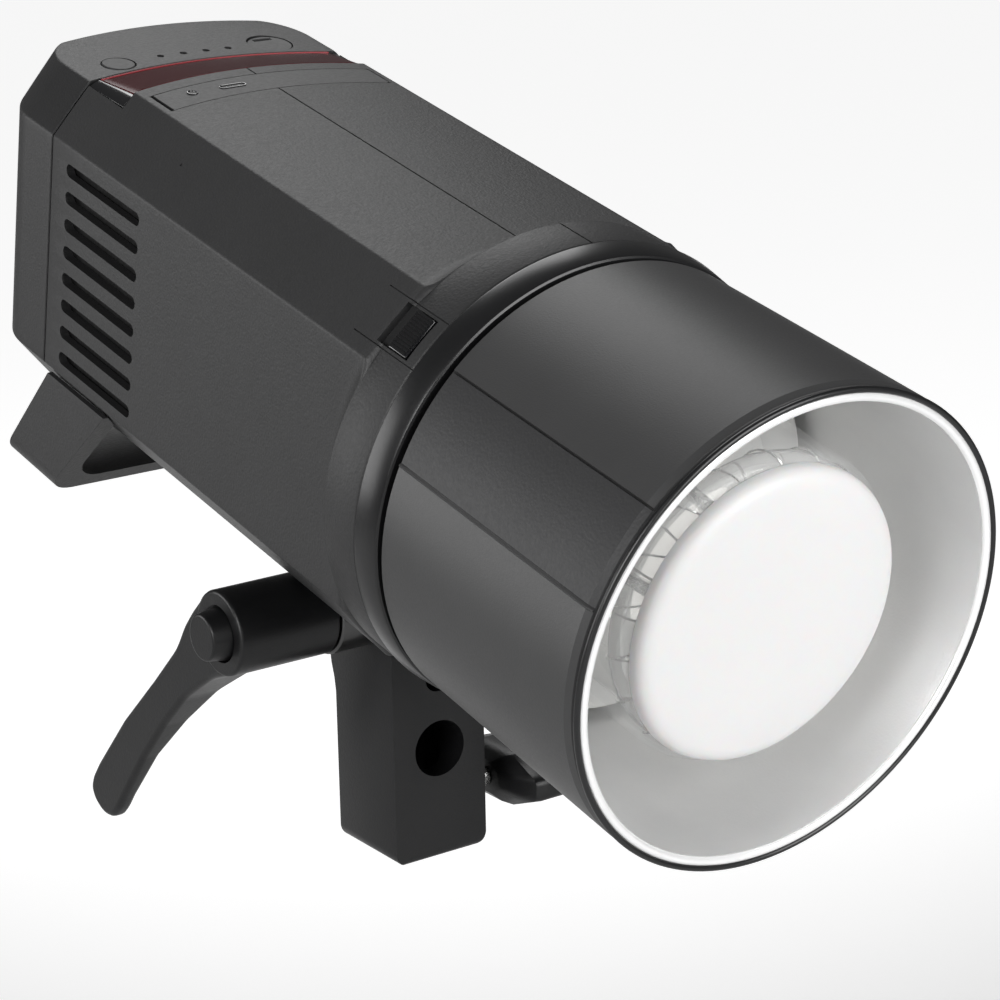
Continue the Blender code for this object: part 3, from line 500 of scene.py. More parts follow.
def on_chamfer(low, high, bm=None):
    """A box that stands on the upper left chamfer."""
    made = block(low, high)
    bmesh.ops.transform(made, matrix=chamfer_frame(), verts=made.verts)
    if bm is None:
        return made
    part = bpy.data.meshes.new("part")
    made.to_mesh(part)
    made.free()
    bm.from_mesh(part)
    return bm


def stadium(station0, station1, height, half, steps=10):
    """Outline of a level slot with round ends."""
    return (arc((station0 + half, height), half, 90, 270, steps)
            + arc((station1 - half, height), half, -90, 90, steps))


def vents(side, rows):
    """Cutters for a column of slots through one side wall."""
    bm = bmesh.new()
    for row in range(rows):
        outline = stadium(0.2168, 0.2578, 0.0277 - row * 0.0081, 0.0019)
        low, high = sorted((side * 0.045, side * 0.060))
        extrude(outline, 0, low, high, bm)
    return bm


def sky(x):
    """Above every top face."""
    return 0.06


def port_pocket():
    return bowed_block(PORT_FRONT - GAP, PORT_BACK + GAP, PORT_HALF + GAP, lambda x: body_top(x) - 0.0016,
                       sky, sky)


def window_pocket():
    return bowed_block(WINDOW_FRONT - GAP, 0.290, WINDOW_HALF + GAP, lambda x: WINDOW_LOW - GAP, sky, sky)


def make_body():
    left = mesh_object("shell_left", body_half(-1))
    well = on_chamfer((-0.0060, 0.0945, -0.0020), (0.0060, 0.1072, 0.0040))
    tick = rod((-0.0437, 0.2125, 0.0400), (-0.0437, 0.2125, 0.0560), 0.0004, sides=12)
    jack = rod((-0.0240, 0.2415, 0.040), (-0.0240, 0.2415, 0.056), 0.0042)
    usb = block((-0.0165, 0.2395, 0.040), (-0.0065, 0.2440, 0.056))
    slits = [on_chamfer((x - 0.00015, 0.0905, -0.0008), (x + 0.00015, 0.1166, 0.0030))
             for x in (-0.0069, 0.0069)]
    carve(left, vents(-1, 8), port_pocket(), window_pocket(), well, tick, jack, usb, *slits)
    show(left, "shell_plastic", "head", "body_shell_left")
    right = mesh_object("shell_right", body_half(1))
    panel = block((0.0508, PANEL_FRONT - GAP, -PANEL_HALF - GAP),
                  (0.0600, PANEL_BACK + GAP, PANEL_HALF + GAP))
    latch = block((0.0515, LATCH_FRONT - 0.0038, -0.0288), (0.0560, LATCH_BACK + GAP, -0.0212))
    carve(right, vents(1, 6), port_pocket(), window_pocket(), panel, latch)
    show(right, "shell_plastic", "head", "body_shell_right")


def make_vent_shade():
    """Near-black sheets just inside the vent slots, a painted shade for the dark inside of the body."""
    for name, side, low, high in (("left", -1, -0.0340, 0.0330), ("right", 1, -0.0170, 0.0330)):
        x0, x1 = sorted((side * 0.0499, side * 0.0503))
        screen = mesh_object(f"vent_shade_sheet_{name}", block((x0, 0.2140, low), (x1, 0.2600, high)))
        show(screen, "vent_painted_shade", "head")


def make_slider():
    slider = mesh_object("slider_pad", on_chamfer((-0.0057, 0.0953, -0.0017), (0.0057, 0.1026, 0.0001)))
    show(slider, "black_gloss", "release_slider", "release_slider", edge=0.0003)
    ribs = bmesh.new()
    for i in range(12):
        x = -0.0052 + i * 0.00094
        on_chamfer((x, 0.0958, -0.0005), (x + 0.0005, 0.1020, 0.0004), ribs)
    show(mesh_object("slider_ribs", ribs, smooth=20), "ring_gloss", "release_slider")


# ---- front end ----------------------------------------------------------------------------------
def band_sink(angle):
    """The sunk band on the reflector's upper left, and the soft steps at its edges."""
    degrees = math.degrees(angle)
    degrees = degrees - 360 if degrees > 180 else degrees
    off = degrees - BAND_MIDDLE
    sunk = BAND_DEPTH * min(1.0, max(0.0, (BAND_HALF - abs(off)) / 0.3 + 0.5))
    groove = 0.0009 * max(0.0, 1.0 - (abs(off - BAND_HALF) / 0.30) ** 4)
    ridge = 0.0004 * max(0.0, 1.0 - (abs(off + BAND_HALF) / 0.45) ** 2)
    return sunk + groove - ridge


def band_angles():
    """Even turns, with extra ones at the band's two edges."""
    even = [360.0 * k / TURNS for k in range(TURNS)]
    steps = (0.15, 0.24, 0.3, 0.4, 0.5)
    near = [0.0, *steps, *(-step for step in steps)]
    extra = [360 + BAND_MIDDLE + side * BAND_HALF + off for side in (-1, 1) for off in near]
    return sorted(even + extra)


def make_reflector():
    end = REFLECTOR_END
    outer = [(0.0026, 0.0610), (0.0030, 0.0617), (0.0050, HEAD_R - 0.0002), (0.0200, 0.06215),
             (0.0500, 0.0618), (end - 0.0010, 0.0614), (end - 0.0007, 0.0611)]
    inner = [(end - 0.0007, 0.0603), (end, 0.0603), (end, 0.0596), (0.0060, 0.0606), (0.0030, 0.0604)]
    rows = []
    for a in [math.radians(degrees) for degrees in band_angles()]:
        shrunk = outer[:1] + [(s, r - band_sink(a)) for s, r in outer[1:]]
        rows.append([(r * math.sin(a), s, r * math.cos(a)) for s, r in shrunk + inner])
    shell = mesh_object("reflector_tube", loft(rows, close=True), smooth=14)
    sunk = [0.75 * BAND_DEPTH < band_sink(math.atan2(f.center.x, f.center.z)) < 1.5 * BAND_DEPTH
            and math.hypot(f.center.x, f.center.z) > 0.0606 for f in shell.data.polygons]
    show(shell, "reflector_black", "reflector", "reflector_shell")
    shell.data.materials.append(LOOKS["band_paint"])
    for face, flag in zip(shell.data.polygons, sunk):
        face.material_index = int(flag)
    rim = arc((0.0010, 0.0616), 0.0008, 0, 345, 24)
    show(mesh_object("rolled_rim", revolve(rim)), "ring_gloss", "reflector", "reflector_rim")
    liner = [(0.0010, 0.0597), (0.0030, 0.0596), (0.0200, 0.0582), (0.0400, 0.0564), (0.0600, 0.0545),
             (0.0700, 0.0530), (0.0760, 0.0503), (0.0800, 0.0470), (0.0800, 0.0458), (0.0755, 0.0490),
             (0.0695, 0.0519), (0.0595, 0.0534), (0.0395, 0.0553), (0.0195, 0.0571), (0.0030, 0.0585),
             (0.0010, 0.0588)]
    show(mesh_object("silver_liner", revolve(liner), smooth=40), "reflector_silver", "reflector",
         "reflector_liner")
    lip = [(0.0013 + 0.0010 * a, 0.0598 + 0.0012 * b) for a, b in arc((0.0, 0.0), 1.0, 0, 345, 20)]
    # The lip ring's bright colour is partly a painted highlight.
    show(mesh_object("lip_ring", revolve(lip)), "lip_painted_highlight", "reflector")


def on_face(degrees, radius, station):
    """A point at an angle from the top, seen from the rear."""
    a = math.radians(degrees)
    return (radius * math.sin(a), station, radius * math.cos(a))


def make_mounting_ring():
    ring = [(0.0826, 0.0520), (0.0826, 0.0612), (0.0829, 0.0617), (0.0835, 0.0620), (0.0900, 0.0628),
            (0.0905, 0.0627), (0.0907, 0.0623), (0.0907, 0.0520)]
    show(mesh_object("bayonet_ring", revolve(ring)), "ring_gloss", "head", "mounting_ring")


def make_glass():
    cap = [(0.0082, 0.0), (0.00821, 0.0100), (0.00823, 0.0250), (0.0083, 0.0340), (0.0086, 0.0356),
           (0.0092, 0.0369), (0.0101, 0.0378), (0.0112, 0.0383), (0.0127, 0.0384), (0.0127, 0.0364),
           (0.0114, 0.0360), (0.0103, 0.0340), (0.0102, 0.0)]
    show(mesh_object("frosted_cap", revolve(cap, closed=False), smooth=40), "frosted_glass", "head",
         "frosted_dome")
    sleeve = [(0.0130, 0.0368), (0.0130, 0.0384), (0.0137, 0.0393), (0.0147, 0.0401), (0.0160, 0.0407),
              (0.0180, 0.0410), (0.0597, 0.0410), (0.0597, 0.0393), (0.0182, 0.0393), (0.0165, 0.0391),
              (0.0150, 0.0386), (0.0140, 0.0378)]
    show(mesh_object("glass_sleeve_fine", revolve(sleeve)), "clear_glass", "head", "glass_sleeve")


def make_tube():
    """A ring tube whose two ends turn back into the lamp's base, with a wire wound round it."""
    path = [on_face(-150 + 3 * i, TUBE_R, TUBE_S) for i in range(101)]
    x, _, z = path[0]
    legs = [(x + 0.0008 * k, s, z) for k, s in ((3, 0.0597), (3, 0.0420), (3, 0.0345), (2.6, 0.0290),
                                               (2, 0.0255), (1, 0.0215), (0.4, 0.0202))]
    tube = legs + path + [(-a, b, c) for a, b, c in reversed(legs)]
    show(mesh_object("ring_tube", sweep(tube, TUBE_RADIUS, 28)), "tube_glass", "head", "flash_tube")
    coil = []
    count, loops, half_span = 1199, 14, 140
    reach = TUBE_RADIUS + 0.0005
    for i in range(count + 1):
        degrees = half_span * (2 * i / count - 1)
        twist = math.tau * loops * i / count
        coil.append(on_face(degrees, TUBE_R + reach * math.cos(twist), TUBE_S - reach * math.sin(twist)))
    show(mesh_object("wound_wire", sweep(coil, 0.00028, 6)), "bright_steel", "head", "trigger_wire")


def make_lamp_seat():
    base = [(0.0600, 0.0), (0.0600, 0.0300), (0.0600, 0.0500), (0.0603, 0.0505), (0.0680, 0.0505),
            (0.0790, 0.0445), (0.0825, 0.0445), (0.0825, 0.0500), (0.0920, 0.0500), (0.0920, 0.0)]
    show(mesh_object("lamp_seat", revolve(base, closed=False), smooth=30), "ceramic_white", "head",
         "lamp_base")
    for index, degrees in enumerate(POST_ANGLES):
        start, end = on_face(degrees, 0.0340, 0.0138), on_face(degrees, 0.0300, 0.0250)
        post = mesh_object(f"tube_post_{index + 1}", rod(start, end, 0.0015, sides=24))
        carve(post, rod(on_face(degrees, 0.0344, 0.0128), on_face(degrees, 0.0331, 0.0162), 0.0008, sides=16))
        show(post, "bright_steel", "head", f"tube_terminal_{index + 1}", edge=0.0002)


# ---- top strips and battery ---------------------------------------------------------------------
def make_port_cover():
    """A rubber flap, with a ring and a pill with pips as plain stand-ins for its marks."""
    cover = bowed_block(PORT_FRONT, PORT_BACK, PORT_HALF, lambda x: body_top(x) - 0.0013, body_top, body_top,
                        round_ends=0.0010)
    flap = mesh_object("port_flap", cover, smooth=35)
    carve(flap, block((-0.0360, 0.2300, 0.0400), (-0.0344, 0.2500, 0.0600)), smooth=35)
    show(flap, "soft_rubber", "port_cover", "port_cover", edge=0.0002)
    ring_x, mark_s, ring_r, proud = -0.0240, 0.2419, 0.0014, 0.00006
    ring = [(ring_x + ring_r * math.sin(a), mark_s + ring_r * math.cos(a), body_top(ring_x) + proud)
            for a in turns_of(24)]
    show(mesh_object("port_mark_ring", sweep(ring + ring[:1], 0.00024, 8)), "black_gloss", "port_cover")
    pill = [(x, y, body_top(x) + proud) for x, y in stadium(-0.0152, -0.0072, mark_s + 0.0001, 0.0010)]
    show(mesh_object("port_mark_pill", sweep(pill + pill[:1], 0.00022, 8)), "black_gloss", "port_cover")
    pips = bmesh.new()
    for k in range(3):
        x = -0.0132 + k * 0.0020
        block((x - 0.0002, 0.2416, body_top(x) - 0.0003), (x + 0.0002, 0.2424, body_top(x) + 0.0001), pips)
    show(mesh_object("port_mark_pips", pips), "grey_mark", "port_cover")


def window_strip():
    return bowed_block(WINDOW_FRONT, WINDOW_BACK, WINDOW_HALF, lambda x: WINDOW_LOW, soft_body, soft_battery)


def make_window():
    """The red strip over the joint, its two black ends, and a lighter red line along its rear edge that is a
    painted highlight.
    """
    red = mesh_object("red_window", window_strip(), smooth=20)
    for side in (-1, 1):
        low, high = sorted((side * WINDOW_ENDS, side * 0.06))
        carve(red, block((low, 0.24, 0.03), (high, 0.29, 0.06)))
        tip = mesh_object(f"window_end_{'left' if side < 0 else 'right'}", window_strip(), smooth=20)
        low, high = sorted((side * (WINDOW_ENDS + 0.0001), -side * 0.06))
        carve(tip, block((low, 0.24, 0.03), (high, 0.29, 0.06)))
        show(tip, "black_gloss", "head", edge=0.0003)
    show(red, "sensor_red", "head", "sensor_window", edge=0.0003)
    # A thin lighter red strip on the rear edge: a painted highlight.
    edge = bowed_block(0.27185, 0.27265, WINDOW_ENDS - 0.0002, lambda x: 0.0470,
                       lambda x: battery_top(x) + 0.00035, lambda x: battery_top(x) + 0.00025)
    show(mesh_object("window_edge_highlight", edge, smooth=20), "red_edge_highlight", "head")


def battery_ring(outline, middle, scale_x=1.0, inset=0.0):
    """Closed ring of the battery's outline, at a station and drawn in at its sides."""
    right = []
    for x, z in outline:
        r = math.hypot(x, z)
        px, pz = x * (r - inset) / r * scale_x, z * (r - inset) / r
        right.append((px, seam(px, middle), pz))
    return right + [(-x, y, z) for x, y, z in reversed(right[1:-1])]


def round_off(radius, distance):
    """How far a quarter round has fallen, at a distance from its end."""
    depth = max(0.0, radius - distance)
    return radius - math.sqrt(max(0.0, radius ** 2 - depth ** 2))


def corner_scale(distance):
    return 1.0 - round_off(CORNER_R, distance) / SIDE_EDGE[0]


def battery_can():
    """The hollow case: an outer skin, an inner skin, both rears and the front lip."""
    front = SEAM_SIDE + BOW + GAP
    outline = half_outline(BATTERY_TOP, BATTERY_TOP_EDGE, 0.0016, 0.0020)
    outer = [battery_ring(outline, front, 1.0, 0.0004), battery_ring(outline, front + 0.0003, 1.0, 0.0001)]
    span = BATTERY_BACK - front - 0.0006
    for i in range(1, 41):
        s = front + 0.0006 + span * math.sin(math.pi / 2 * i / 41)
        left = BATTERY_BACK - s
        outer.append(battery_ring(outline, s, corner_scale(left + 0.0004), round_off(REAR_EDGE, left)))
    outer.append(battery_ring(outline, BATTERY_BACK, corner_scale(0.0004), REAR_EDGE + 0.0001))
    inner = []
    for s in (front, 0.2800, 0.2850, 0.2890, 0.2920, 0.2950, 0.2975, 0.2995, 0.3010):
        inner.append(battery_ring(outline, s, corner_scale(BATTERY_BACK - 0.0022 - s), 0.0029))
    bm = bmesh.new()
    loft(outer, caps=False, bm=bm)
    first_inner = len(bm.verts)
    loft(inner, caps=False, bm=bm)
    bm.verts.ensure_lookup_table()
    count = len(outer[0])
    last_outer, last_inner = first_inner - count, len(bm.verts) - count
    bm.faces.new([bm.verts[last_outer + i] for i in range(count)])
    bm.faces.new([bm.verts[last_inner + i] for i in range(count)])
    for i in range(count):
        j = (i + 1) % count
        bm.faces.new([bm.verts[k] for k in (i, j, first_inner + j, first_inner + i)])
    return bm


def make_battery():
    case = mesh_object("battery_shell", battery_can(), smooth=25)
    gauge = rod((GAUGE_X, GAUGE_S, 0.040), (GAUGE_X, GAUGE_S, 0.054), 0.0051)
    socket = rod((SOCKET_X, SOCKET_S, 0.040), (SOCKET_X, SOCKET_S, 0.054), 0.0069)
    dots = bmesh.new()
    for x in LIGHTS_X:
        rod((x, LIGHTS_S, 0.040), (x, LIGHTS_S, 0.054), 0.0011, sides=16, bm=dots)
    carve(case, gauge, socket, dots, smooth=25)
    show(case, "battery_plastic", "battery", "battery_case")
    button = arc((GAUGE_X, GAUGE_S), 0.0048, 0, 350, 48)
    show(mesh_object("gauge_pad", extrude(button, 2, 0.0430, 0.0484), smooth=30), "soft_rubber",
         "gauge_button", "gauge_button", edge=0.0003)
    for index, x in enumerate(LIGHTS_X):
        dot = mesh_object(f"gauge_dot_{index + 1}",
                          rod((x, LIGHTS_S, 0.0415), (x, LIGHTS_S, 0.0481), 0.0009, sides=16))
        show(dot, "light_dot", "battery", f"gauge_light_{index + 1}")
    disc = rod((SOCKET_X, SOCKET_S, 0.0463), (SOCKET_X, SOCKET_S, 0.0480), 0.0066, sides=64)
    lid = mesh_object("socket_lid", disc)
    carve(lid, block((SOCKET_X - 0.0030, SOCKET_S + 0.0035, 0.0472),
                     (SOCKET_X + 0.0030, SOCKET_S + 0.0049, 0.0500)))
    show(lid, "soft_rubber", "charge_cover", "charge_cover", edge=0.0002)


# ---- control panel ------------------------------------------------------------------------------
def notched(radius, depth, count, every):
    """Points round a circle, one in every few of them drawn in as a flute or a knurl."""
    radii = [radius - depth * (k % every == 0) for k in range(count)]
    return [(r * math.cos(a), r * math.sin(a)) for r, a in zip(radii, turns_of(count))]


def side_box(stations, heights, low, high, corner=0.0, bm=None):
    """A plate on the right wall, with rounded corners seen from the side."""
    x = SIDE_EDGE[0]
    outline = [(stations[0], heights[0]), (stations[1], heights[0]), (stations[1], heights[1]),
               (stations[0], heights[1])]
    if corner:
        outline = fillet(outline, corner, 6)
    return extrude(outline, 0, x + low, x + high, bm)


def make_panel():
    """The plate with its wells, and the display."""
    x = SIDE_EDGE[0]
    face = side_box((PANEL_FRONT, PANEL_BACK), (-PANEL_HALF, PANEL_HALF), -0.0021, 0.0008, 0.0035)
    plate = mesh_object("panel_face", face)
    wells = side_box((0.1320, 0.1860), (-0.0020, 0.0260), -0.0012, 0.0040, 0.0015)
    rod((x - 0.0045, KNOB_S, POWER_H), (x + 0.0040, KNOB_S, POWER_H), 0.0044, bm=wells)
    for s in KEY_STATIONS:
        side_box((s - 0.0055, s + 0.0055), (-0.0260, -0.0190), -0.0045, 0.0040, 0.0016, wells)
    carve(plate, wells)
    show(plate, "soft_rubber", "head", "panel_plate", edge=0.0003)
    screen = mesh_object("screen", side_box((0.1323, 0.1857), (-0.0017, 0.0257), -0.0009, 0.0009, 0.0012))
    show(screen, "display_glass", "head", "display_window", edge=0.0003)


def make_keys():
    for index, s in enumerate(KEY_STATIONS):
        pad = side_box((s - 0.0051, s + 0.0051), (-0.0256, -0.0194), -0.0008, 0.0022, 0.0014)
        name = f"panel_button_{index + 1}"
        show(mesh_object(f"key_{index + 1}", pad), "shell_plastic", name, name, edge=0.0004)
        bar = side_box((s - 0.0018, s + 0.0018), (-0.0228, -0.0222), 0.0020, 0.00225)
        show(mesh_object(f"key_mark_{index + 1}", bar), "grey_mark", name)
    x = SIDE_EDGE[0]
    stud = rod((x - 0.0008, KNOB_S, POWER_H), (x + 0.0022, KNOB_S, POWER_H), 0.0040, sides=64)
    show(mesh_object("power_key", stud), "shell_plastic", "power_button", "power_button", edge=0.0004,
         angle=50)
    sign = [(x + 0.0022, s, h) for h, s in arc((POWER_H, KNOB_S), 0.0017, 35, 325, 31)]
    show(mesh_object("power_mark", sweep(sign, 0.00018, 8)), "grey_mark", "power_button")


def make_dial():
    x = SIDE_EDGE[0]
    rings = []
    for dx, r, flute in ((0.0011, 0.0097, 0.0), (0.0020, 0.0098, 0.0003), (0.0082, 0.0094, 0.0003),
                         (0.0090, 0.0090, 0.0), (0.0095, 0.0082, 0.0), (0.0091, 0.0074, 0.0)):
        ring = notched(r, flute, 180, 5)
        rings.append([(x + dx, KNOB_S + side, DIAL_H + up) for up, side in ring])
    show(mesh_object("dial", loft(rings), smooth=25), "ring_gloss", "control_dial", "control_dial")


def make_latch():
    x = SIDE_EDGE[0]
    pad = block((x - 0.0013, LATCH_FRONT, -0.0285), (x + 0.0014, LATCH_BACK, -0.0215))
    latch = mesh_object("latch_pad", pad)
    show(latch, "ring_gloss", "battery_latch", "battery_latch", edge=0.0005)
    ribs = bmesh.new()
    for k in range(4):
        s = LATCH_FRONT + 0.0030 + 0.0022 * k
        block((x + 0.0010, s, -0.0275), (x + 0.0017, s + 0.0008, -0.0225), ribs)
    show(mesh_object("latch_ribs", ribs), "ring_gloss", "battery_latch")


# ---- handle, bracket, clamps --------------------------------------------------------------------
def low_chamfer(x):
    """Height of the lower chamfer, with a hair of clearance."""
    slope = (SIDE_EDGE[1] + LOW_EDGE[1]) / (SIDE_EDGE[0] - LOW_EDGE[0])
    return -SIDE_EDGE[1] + slope * (SIDE_EDGE[0] - x) - 0.0007


def make_handle():
    """A strap bent into a U, which leans back as it drops."""
    outer, inner = 0.0530, 0.0470
    edge = [(outer - 0.0015, low_chamfer(outer - 0.0015)), (outer, low_chamfer(outer) - 0.0018)]
    edge += arc((outer - 0.0090, -0.0662), 0.0090, 0, -90, 18)
    hollow = arc((inner - 0.0100, -0.0600), 0.0100, -90, 0, 18) + [(inner, low_chamfer(inner))]
    profile = edge + [(-x, z) for x, z in reversed(edge)] + [(-x, z) for x, z in reversed(hollow)] + hollow
    rings = []
    for station, lean in ((0.2325, 0.842), (0.2655, 0.700)):
        rings.append([(x, station + (-0.0386 - z) * lean, z) for x, z in profile])
    show(mesh_object("carry_strap", loft(rings), smooth=40), "shell_plastic", "head", "grab_handle",
         edge=0.0013, segments=4, angle=50)


def make_tongue():
    """The flange under the head and the round-ended web that tilts in the bracket."""
    y, flange, web = PIVOT_BACK, 0.0330, 0.0130
    top = LOW_EDGE[1] - 0.0005
    down = top - 0.0020
    outline = [(y + flange, top), (y - flange, top), (y - flange, down), (y - web, down)]
    outline += arc((y, -AXIS_UP), web, 180, 360, 33) + [(y + web, down), (y + flange, down)]
    tongue = mesh_object("tilt_web", extrude(outline, 0, -0.0063, 0.0063), smooth=30)
    carve(tongue, rod((-0.02, y, -AXIS_UP), (0.02, y, -AXIS_UP), BOLT_R))
    show(tongue, "bracket_black", "head", "tilt_tongue", edge=0.0004)


def foot_corner(side):
    """Cutter that rounds one lower corner of the bracket, seen from the front."""
    inner, outer = side * (HALF_W - FOOT_R), side * (HALF_W + 0.001)
    bend = [(inner + side * x, z) for x, z in arc((0.0, FOOT_R), FOOT_R, 270, 360, 14)]
    return extrude([(outer, -0.001), (inner, -0.001), *bend, (outer, FOOT_R)], 1, -0.03, 0.03)


def make_bracket():
    """A block with a waist, a slot for the tongue and its holes."""
    d, edge = HALF_D, 0.002
    outline = arc((-d + edge, edge), edge, 180, 270, 6) + arc((d - edge, edge), edge, 270, 360, 6)
    outline += [(d, 0.0440), (0.0150, 0.0480), (0.0162, 0.0520), (0.0170, 0.0570), (0.0168, 0.0640),
                (0.0145, 0.0710)]
    outline += arc((0.0, PIVOT_Z), HUB_R - 0.0002, 5, 175, 36) + [(-d, 0.0660), (-d, 0.0600)]
    body = mesh_object("clamp_block", extrude(outline, 0, -HALF_W, HALF_W), WORLD, 25)
    for side in (-1, 1):
        carve(body, foot_corner(side), smooth=25)
    floor = arc((0.0, PIVOT_Z), 0.0142, 225, 315, 16)
    slot = [(-0.03, 0.11), (-0.03, floor[0][1])] + floor + [(0.03, floor[0][1]), (0.03, 0.11)]
    carve(body, extrude(slot, 0, -0.0074, 0.0074), smooth=25)
    show(body, "bracket_black", "bracket", "bracket_block", edge=0.0013, segments=3, angle=40)
    carve(body, rod((0, 0, -0.01), (0, 0, 0.0440), 0.0081, sides=72),
          rod((0, -0.03, SPIGOT_Z), (0, 0.0110, SPIGOT_Z), 0.00805, sides=72),
          rod((0, -0.03, UMBRELLA_Z), (0, 0.03, UMBRELLA_Z), 0.0041, sides=48),
          rod((0.004, 0, CLAMP_Z), (0.03, 0, CLAMP_Z), 0.0033),
          rod((0.002, 0, UMBRELLA_Z), (0.03, 0, UMBRELLA_Z), 0.0023),
          rod((-0.03, 0, PIVOT_Z), (0.03, 0, PIVOT_Z), BOLT_R), smooth=25)
    body.data.materials.clear()
    body.data.materials.append(LOOKS["bracket_black"])


def make_clamps():
    """The two-winged clamp knob and the knurled thumb screw."""
    quarter = ((0.0200, 0.0030), (0.0170, 0.0042), (0.0080, 0.0078))
    wing = [*quarter, *((-y, z) for y, z in reversed(quarter)), *((-y, -z) for y, z in quarter),
            *((y, -z) for y, z in reversed(quarter))]
    wing = fillet(wing, 0.0030, 4)
    sizes = ((0.0250, 0.36, 0.62), (0.0268, 0.70, 0.86), (0.0290, 0.97, 0.98), (0.0310, 1.0, 1.0),
             (0.0380, 1.0, 1.0), (0.0405, 0.94, 0.94), (0.0418, 0.84, 0.84), (0.0420, 0.78, 0.78))
    rings = [[(x, y * a, CLAMP_Z + z * b) for y, z in wing] for x, a, b in sizes]
    show(mesh_object("wing_knob", loft(rings), WORLD, 35), "bracket_black", "clamp", "clamp_knob")
    rings = []
    for x, r in ((0.0045, 0.0020), (0.0185, 0.0020), (0.0185, 0.0060), (0.0188, 0.0062), (0.0258, 0.0062),
                 (0.0262, 0.0058), (0.0262, 0.0050)):
        knurl = 0.0003 if 0.0186 < x < 0.0260 else 0.0
        rings.append([(x, y, UMBRELLA_Z + z) for y, z in notched(r, knurl, 96, 4)])
    show(mesh_object("thumb_screw", loft(rings), WORLD, 25), "bracket_black", "umbrella_screw",
         "umbrella_screw")


def lever_arm():
    """A curved arm that thins towards its rounded tip, drawn as (y, z) and rounded all round."""
    upper = [(0.0005, 0.0862), (0.0090, 0.0832), (0.0160, 0.0765), (0.0209, 0.0710), (0.0260, 0.0632),
             (0.0396, 0.0500), (0.0587, 0.0324), (0.0757, 0.0140), (0.0800, 0.0085)]
    tip = [(0.0812, 0.0050), (0.0795, 0.0014), (0.0746, -0.0016), (0.0690, -0.0012), (0.0655, 0.0020)]
    lower = [(0.0615, 0.0071), (0.0481, 0.0236), (0.0353, 0.0374), (0.0230, 0.0490), (0.0155, 0.0541),
             (0.0080, 0.0590), (-0.0021, 0.0629)]
    corners = upper + tip + lower
    outline = fillet(corners, [0.0] + [0.030] * (len(corners) - 2) + [0.0], 6)
    near = [(LEVER_FACE + 0.0008, y, z) for y, z in outline]
    far = [(LEVER_FACE + 0.0058 + 0.0110 * smooth_step(1 - y / 0.060), y, z) for y, z in outline]
    arm = mesh_object("lever_arm", loft([near, far]), WORLD, 60)
    edge_round(arm, 0.0018, 4, 50.0)
    settle(arm)
    shape = bmesh.new()
    shape.from_mesh(arm.data)
    bpy.data.objects.remove(arm, do_unlink=True)
    return shape


def make_lever():
    z = PIVOT_Z
    rings = []
    for x, r in ((LEVER_FACE, HUB_R - 0.0010), (LEVER_FACE + 0.0003, HUB_R - 0.0003),
                 (LEVER_FACE + 0.0010, HUB_R), (LEVER_FOOT - 0.0006, HUB_R), (LEVER_FOOT, HUB_R - 0.0006)):
        rings.append([(x, y, z + up) for y, up in notched(r, 0.0, 128, 1)])
    hub = mesh_object("clamp_lever", loft(rings), WORLD, 40)
    carve(hub, lever_arm(), operation="UNION", smooth=40)
    carve(hub, rod((-0.070, 0, z), (-0.0545, 0, z), 0.0079, sides=96),
          rod((-0.0300, 0, z), (-0.0270, 0, z), 0.0042), smooth=40)
    hub.modifiers.new("normals", "WEIGHTED_NORMAL").keep_sharp = True
    show(settle(hub), "bracket_black", "lever", "tilt_lever")


def make_spacer():
    z = PIVOT_Z
    spacer = mesh_object("spacer_fine", rod((-0.0284, 0, z), (-0.0153, 0, z), 0.0123, sides=96), WORLD, 40)
    carve(spacer, rod((-0.035, 0, z), (-0.010, 0, z), 0.0042), smooth=40)
    show(spacer, "dark_steel", "bracket", "spacer_ring", edge=0.0006, angle=50)


def make_lever_button():
    z = PIVOT_Z
    button = mesh_object("lever_cap", rod((-0.0575, 0, z), (-0.0649, 0, z), 0.0075, 0.0064, 72), WORLD, 40)
    show(button, "bracket_black", "lever_button", "lever_button", edge=0.0006, segments=3, angle=50)


def dress_frame():
    """The hidden CAD nodes keep their meshes and take the finish of their slot."""
    slots = {part["node"]: part["material_slot"] for part in frame["record"]["subparts"]}
    for name, obj in frame["nodes"].items():
        obj.data.materials.clear()
        obj.data.materials.append(LOOKS["led_glow" if name == "led_board" else slots[name]])


# ---- stage --------------------------------------------------------------------------------------
def area_light(name, where, aim, size, power, size_y=None):
    """A softbox that faces a point."""
    lamp = bpy.data.lights.new(name, "AREA")
    lamp.shape = "RECTANGLE"
    lamp.size = size
    lamp.size_y = size_y or size
    lamp.energy = power
    obj = bpy.data.objects.new(name, lamp)
    bpy.context.scene.collection.objects.link(obj)
    obj.location = where
    obj.rotation_euler = (Vector(aim) - Vector(where)).to_track_quat("-Z", "Y").to_euler()
    return obj


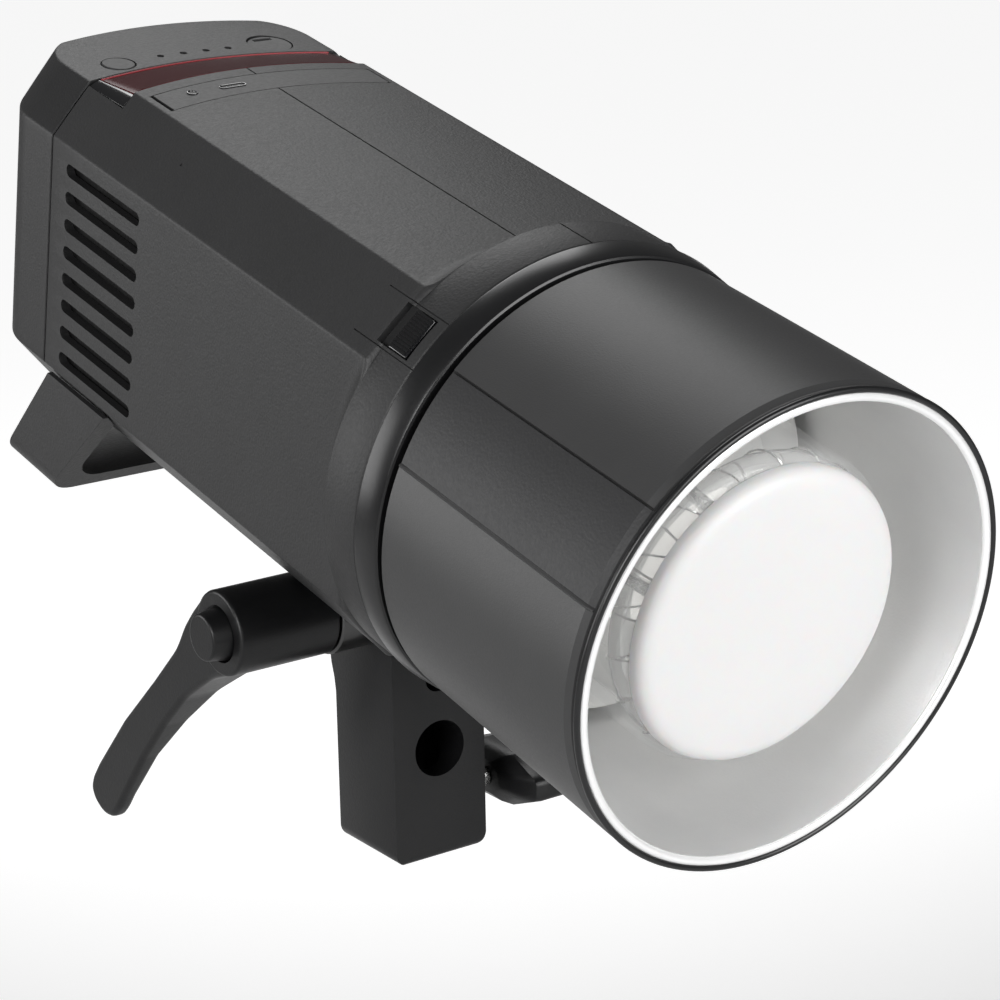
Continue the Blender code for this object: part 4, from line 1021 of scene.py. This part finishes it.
def make_floor():
    """A pale grey floor with painted light: it glows only in a long pool behind the object as the camera sees
    it, and the unlit floor round the object is a painted shade.
    """
    bm = bmesh.new()
    bmesh.ops.create_grid(bm, x_segments=2, y_segments=2, size=14.0)
    floor = mesh_object("floor", bm, Matrix.Translation((0, 0, -0.42)))
    glowing_floor = look("floor_painted_glow", (0.55, 0.55, 0.55), 0.85, tone=0.006, grain=0.0001, size=0.02,
                 Emission_Color=(1.0, 1.0, 1.0, 1.0))
    tree = glowing_floor.node_tree
    place = node(tree, "ShaderNodeTexCoord").outputs["Object"]
    pool = node(tree, "ShaderNodeMapping", {"Vector": place, "Location": (0.0, -4.3, 0.0),
                                            "Rotation": (0.0, 0.0, math.radians(35.1)),
                                            "Scale": (1.0, 1.0, 0.0)}, vector_type="POINT")
    stretched = node(tree, "ShaderNodeVectorMath", {0: pool.outputs["Vector"], 1: (1 / 1.9, 1 / 4.2, 0.0)},
                     operation="MULTIPLY")
    far = node(tree, "ShaderNodeVectorMath", {0: stretched.outputs["Vector"]}, operation="LENGTH")
    # Painted light: emission 0.86 in the far pool and none near the object, which leaves a painted shade
    # there.
    glow = node(tree, "ShaderNodeMapRange", {"Value": far.outputs["Value"], "From Min": 0.72,
                                             "From Max": 1.02, "To Min": 0.86, "To Max": 0.0},
                interpolation_type="SMOOTHSTEP")
    tree.links.new(glow.outputs["Result"], tree.nodes["Principled BSDF"].inputs["Emission Strength"])
    floor.data.materials.append(glowing_floor)


def make_lights():
    area_light("softbox_top", (0.40, 0.90, 1.12), (0, 0.0, 0.12), 0.75, 6.0)
    area_light("softbox_rear", (-1.15, 1.10, 0.30), (0, 0.05, 0.12), 1.0, 9.0, 0.85)
    area_light("softbox_left", (-1.25, -0.55, 0.55), (0, 0.05, 0.12), 0.7, 13.0)
    area_light("strip_low", (-1.20, -0.85, -0.22), (0, 0.0, 0.05), 0.25, 1.0)
    area_light("softbox_front", (0.30, -1.50, 0.50), (0, -0.15, 0.10), 1.1, 24.0)
    world = bpy.data.worlds.new("studio")
    world.use_nodes = True
    sky_node = world.node_tree.nodes["Background"]
    sky_node.inputs["Color"].default_value = (1.0, 1.0, 1.0, 1.0)
    sky_node.inputs["Strength"].default_value = 0.10
    bpy.context.scene.world = world
    bpy.context.scene.view_settings.view_transform = "Standard"


def make_camera():
    """The photograph's viewpoint: a long lens from the front left, a little above."""
    camera = bpy.data.cameras.new("camera")
    camera.lens = 111.18
    camera.sensor_width = 36.0
    camera.dof.use_dof = False
    obj = bpy.data.objects.new("camera", camera)
    bpy.context.scene.collection.objects.link(obj)
    right = Vector((0.81502, -0.57916, -0.01810))
    up = Vector((0.18273, 0.22725, 0.95654))
    rear = Vector((-0.54987, -0.78290, 0.29104))
    turn = Matrix((right, up, rear)).transposed().to_4x4()
    obj.matrix_world = Matrix.Translation((-0.4408, -0.6731, 0.3442)) @ turn
    bpy.context.scene.camera = obj


make_body()
make_vent_shade()
make_slider()
make_reflector()
make_mounting_ring()
make_glass()
make_tube()
make_lamp_seat()
make_port_cover()
make_window()
make_battery()
make_panel()
make_keys()
make_dial()
make_latch()
make_handle()
make_tongue()
make_bracket()
make_clamps()
make_lever()
make_spacer()
make_lever_button()
dress_frame()
make_floor()
make_lights()
make_camera()
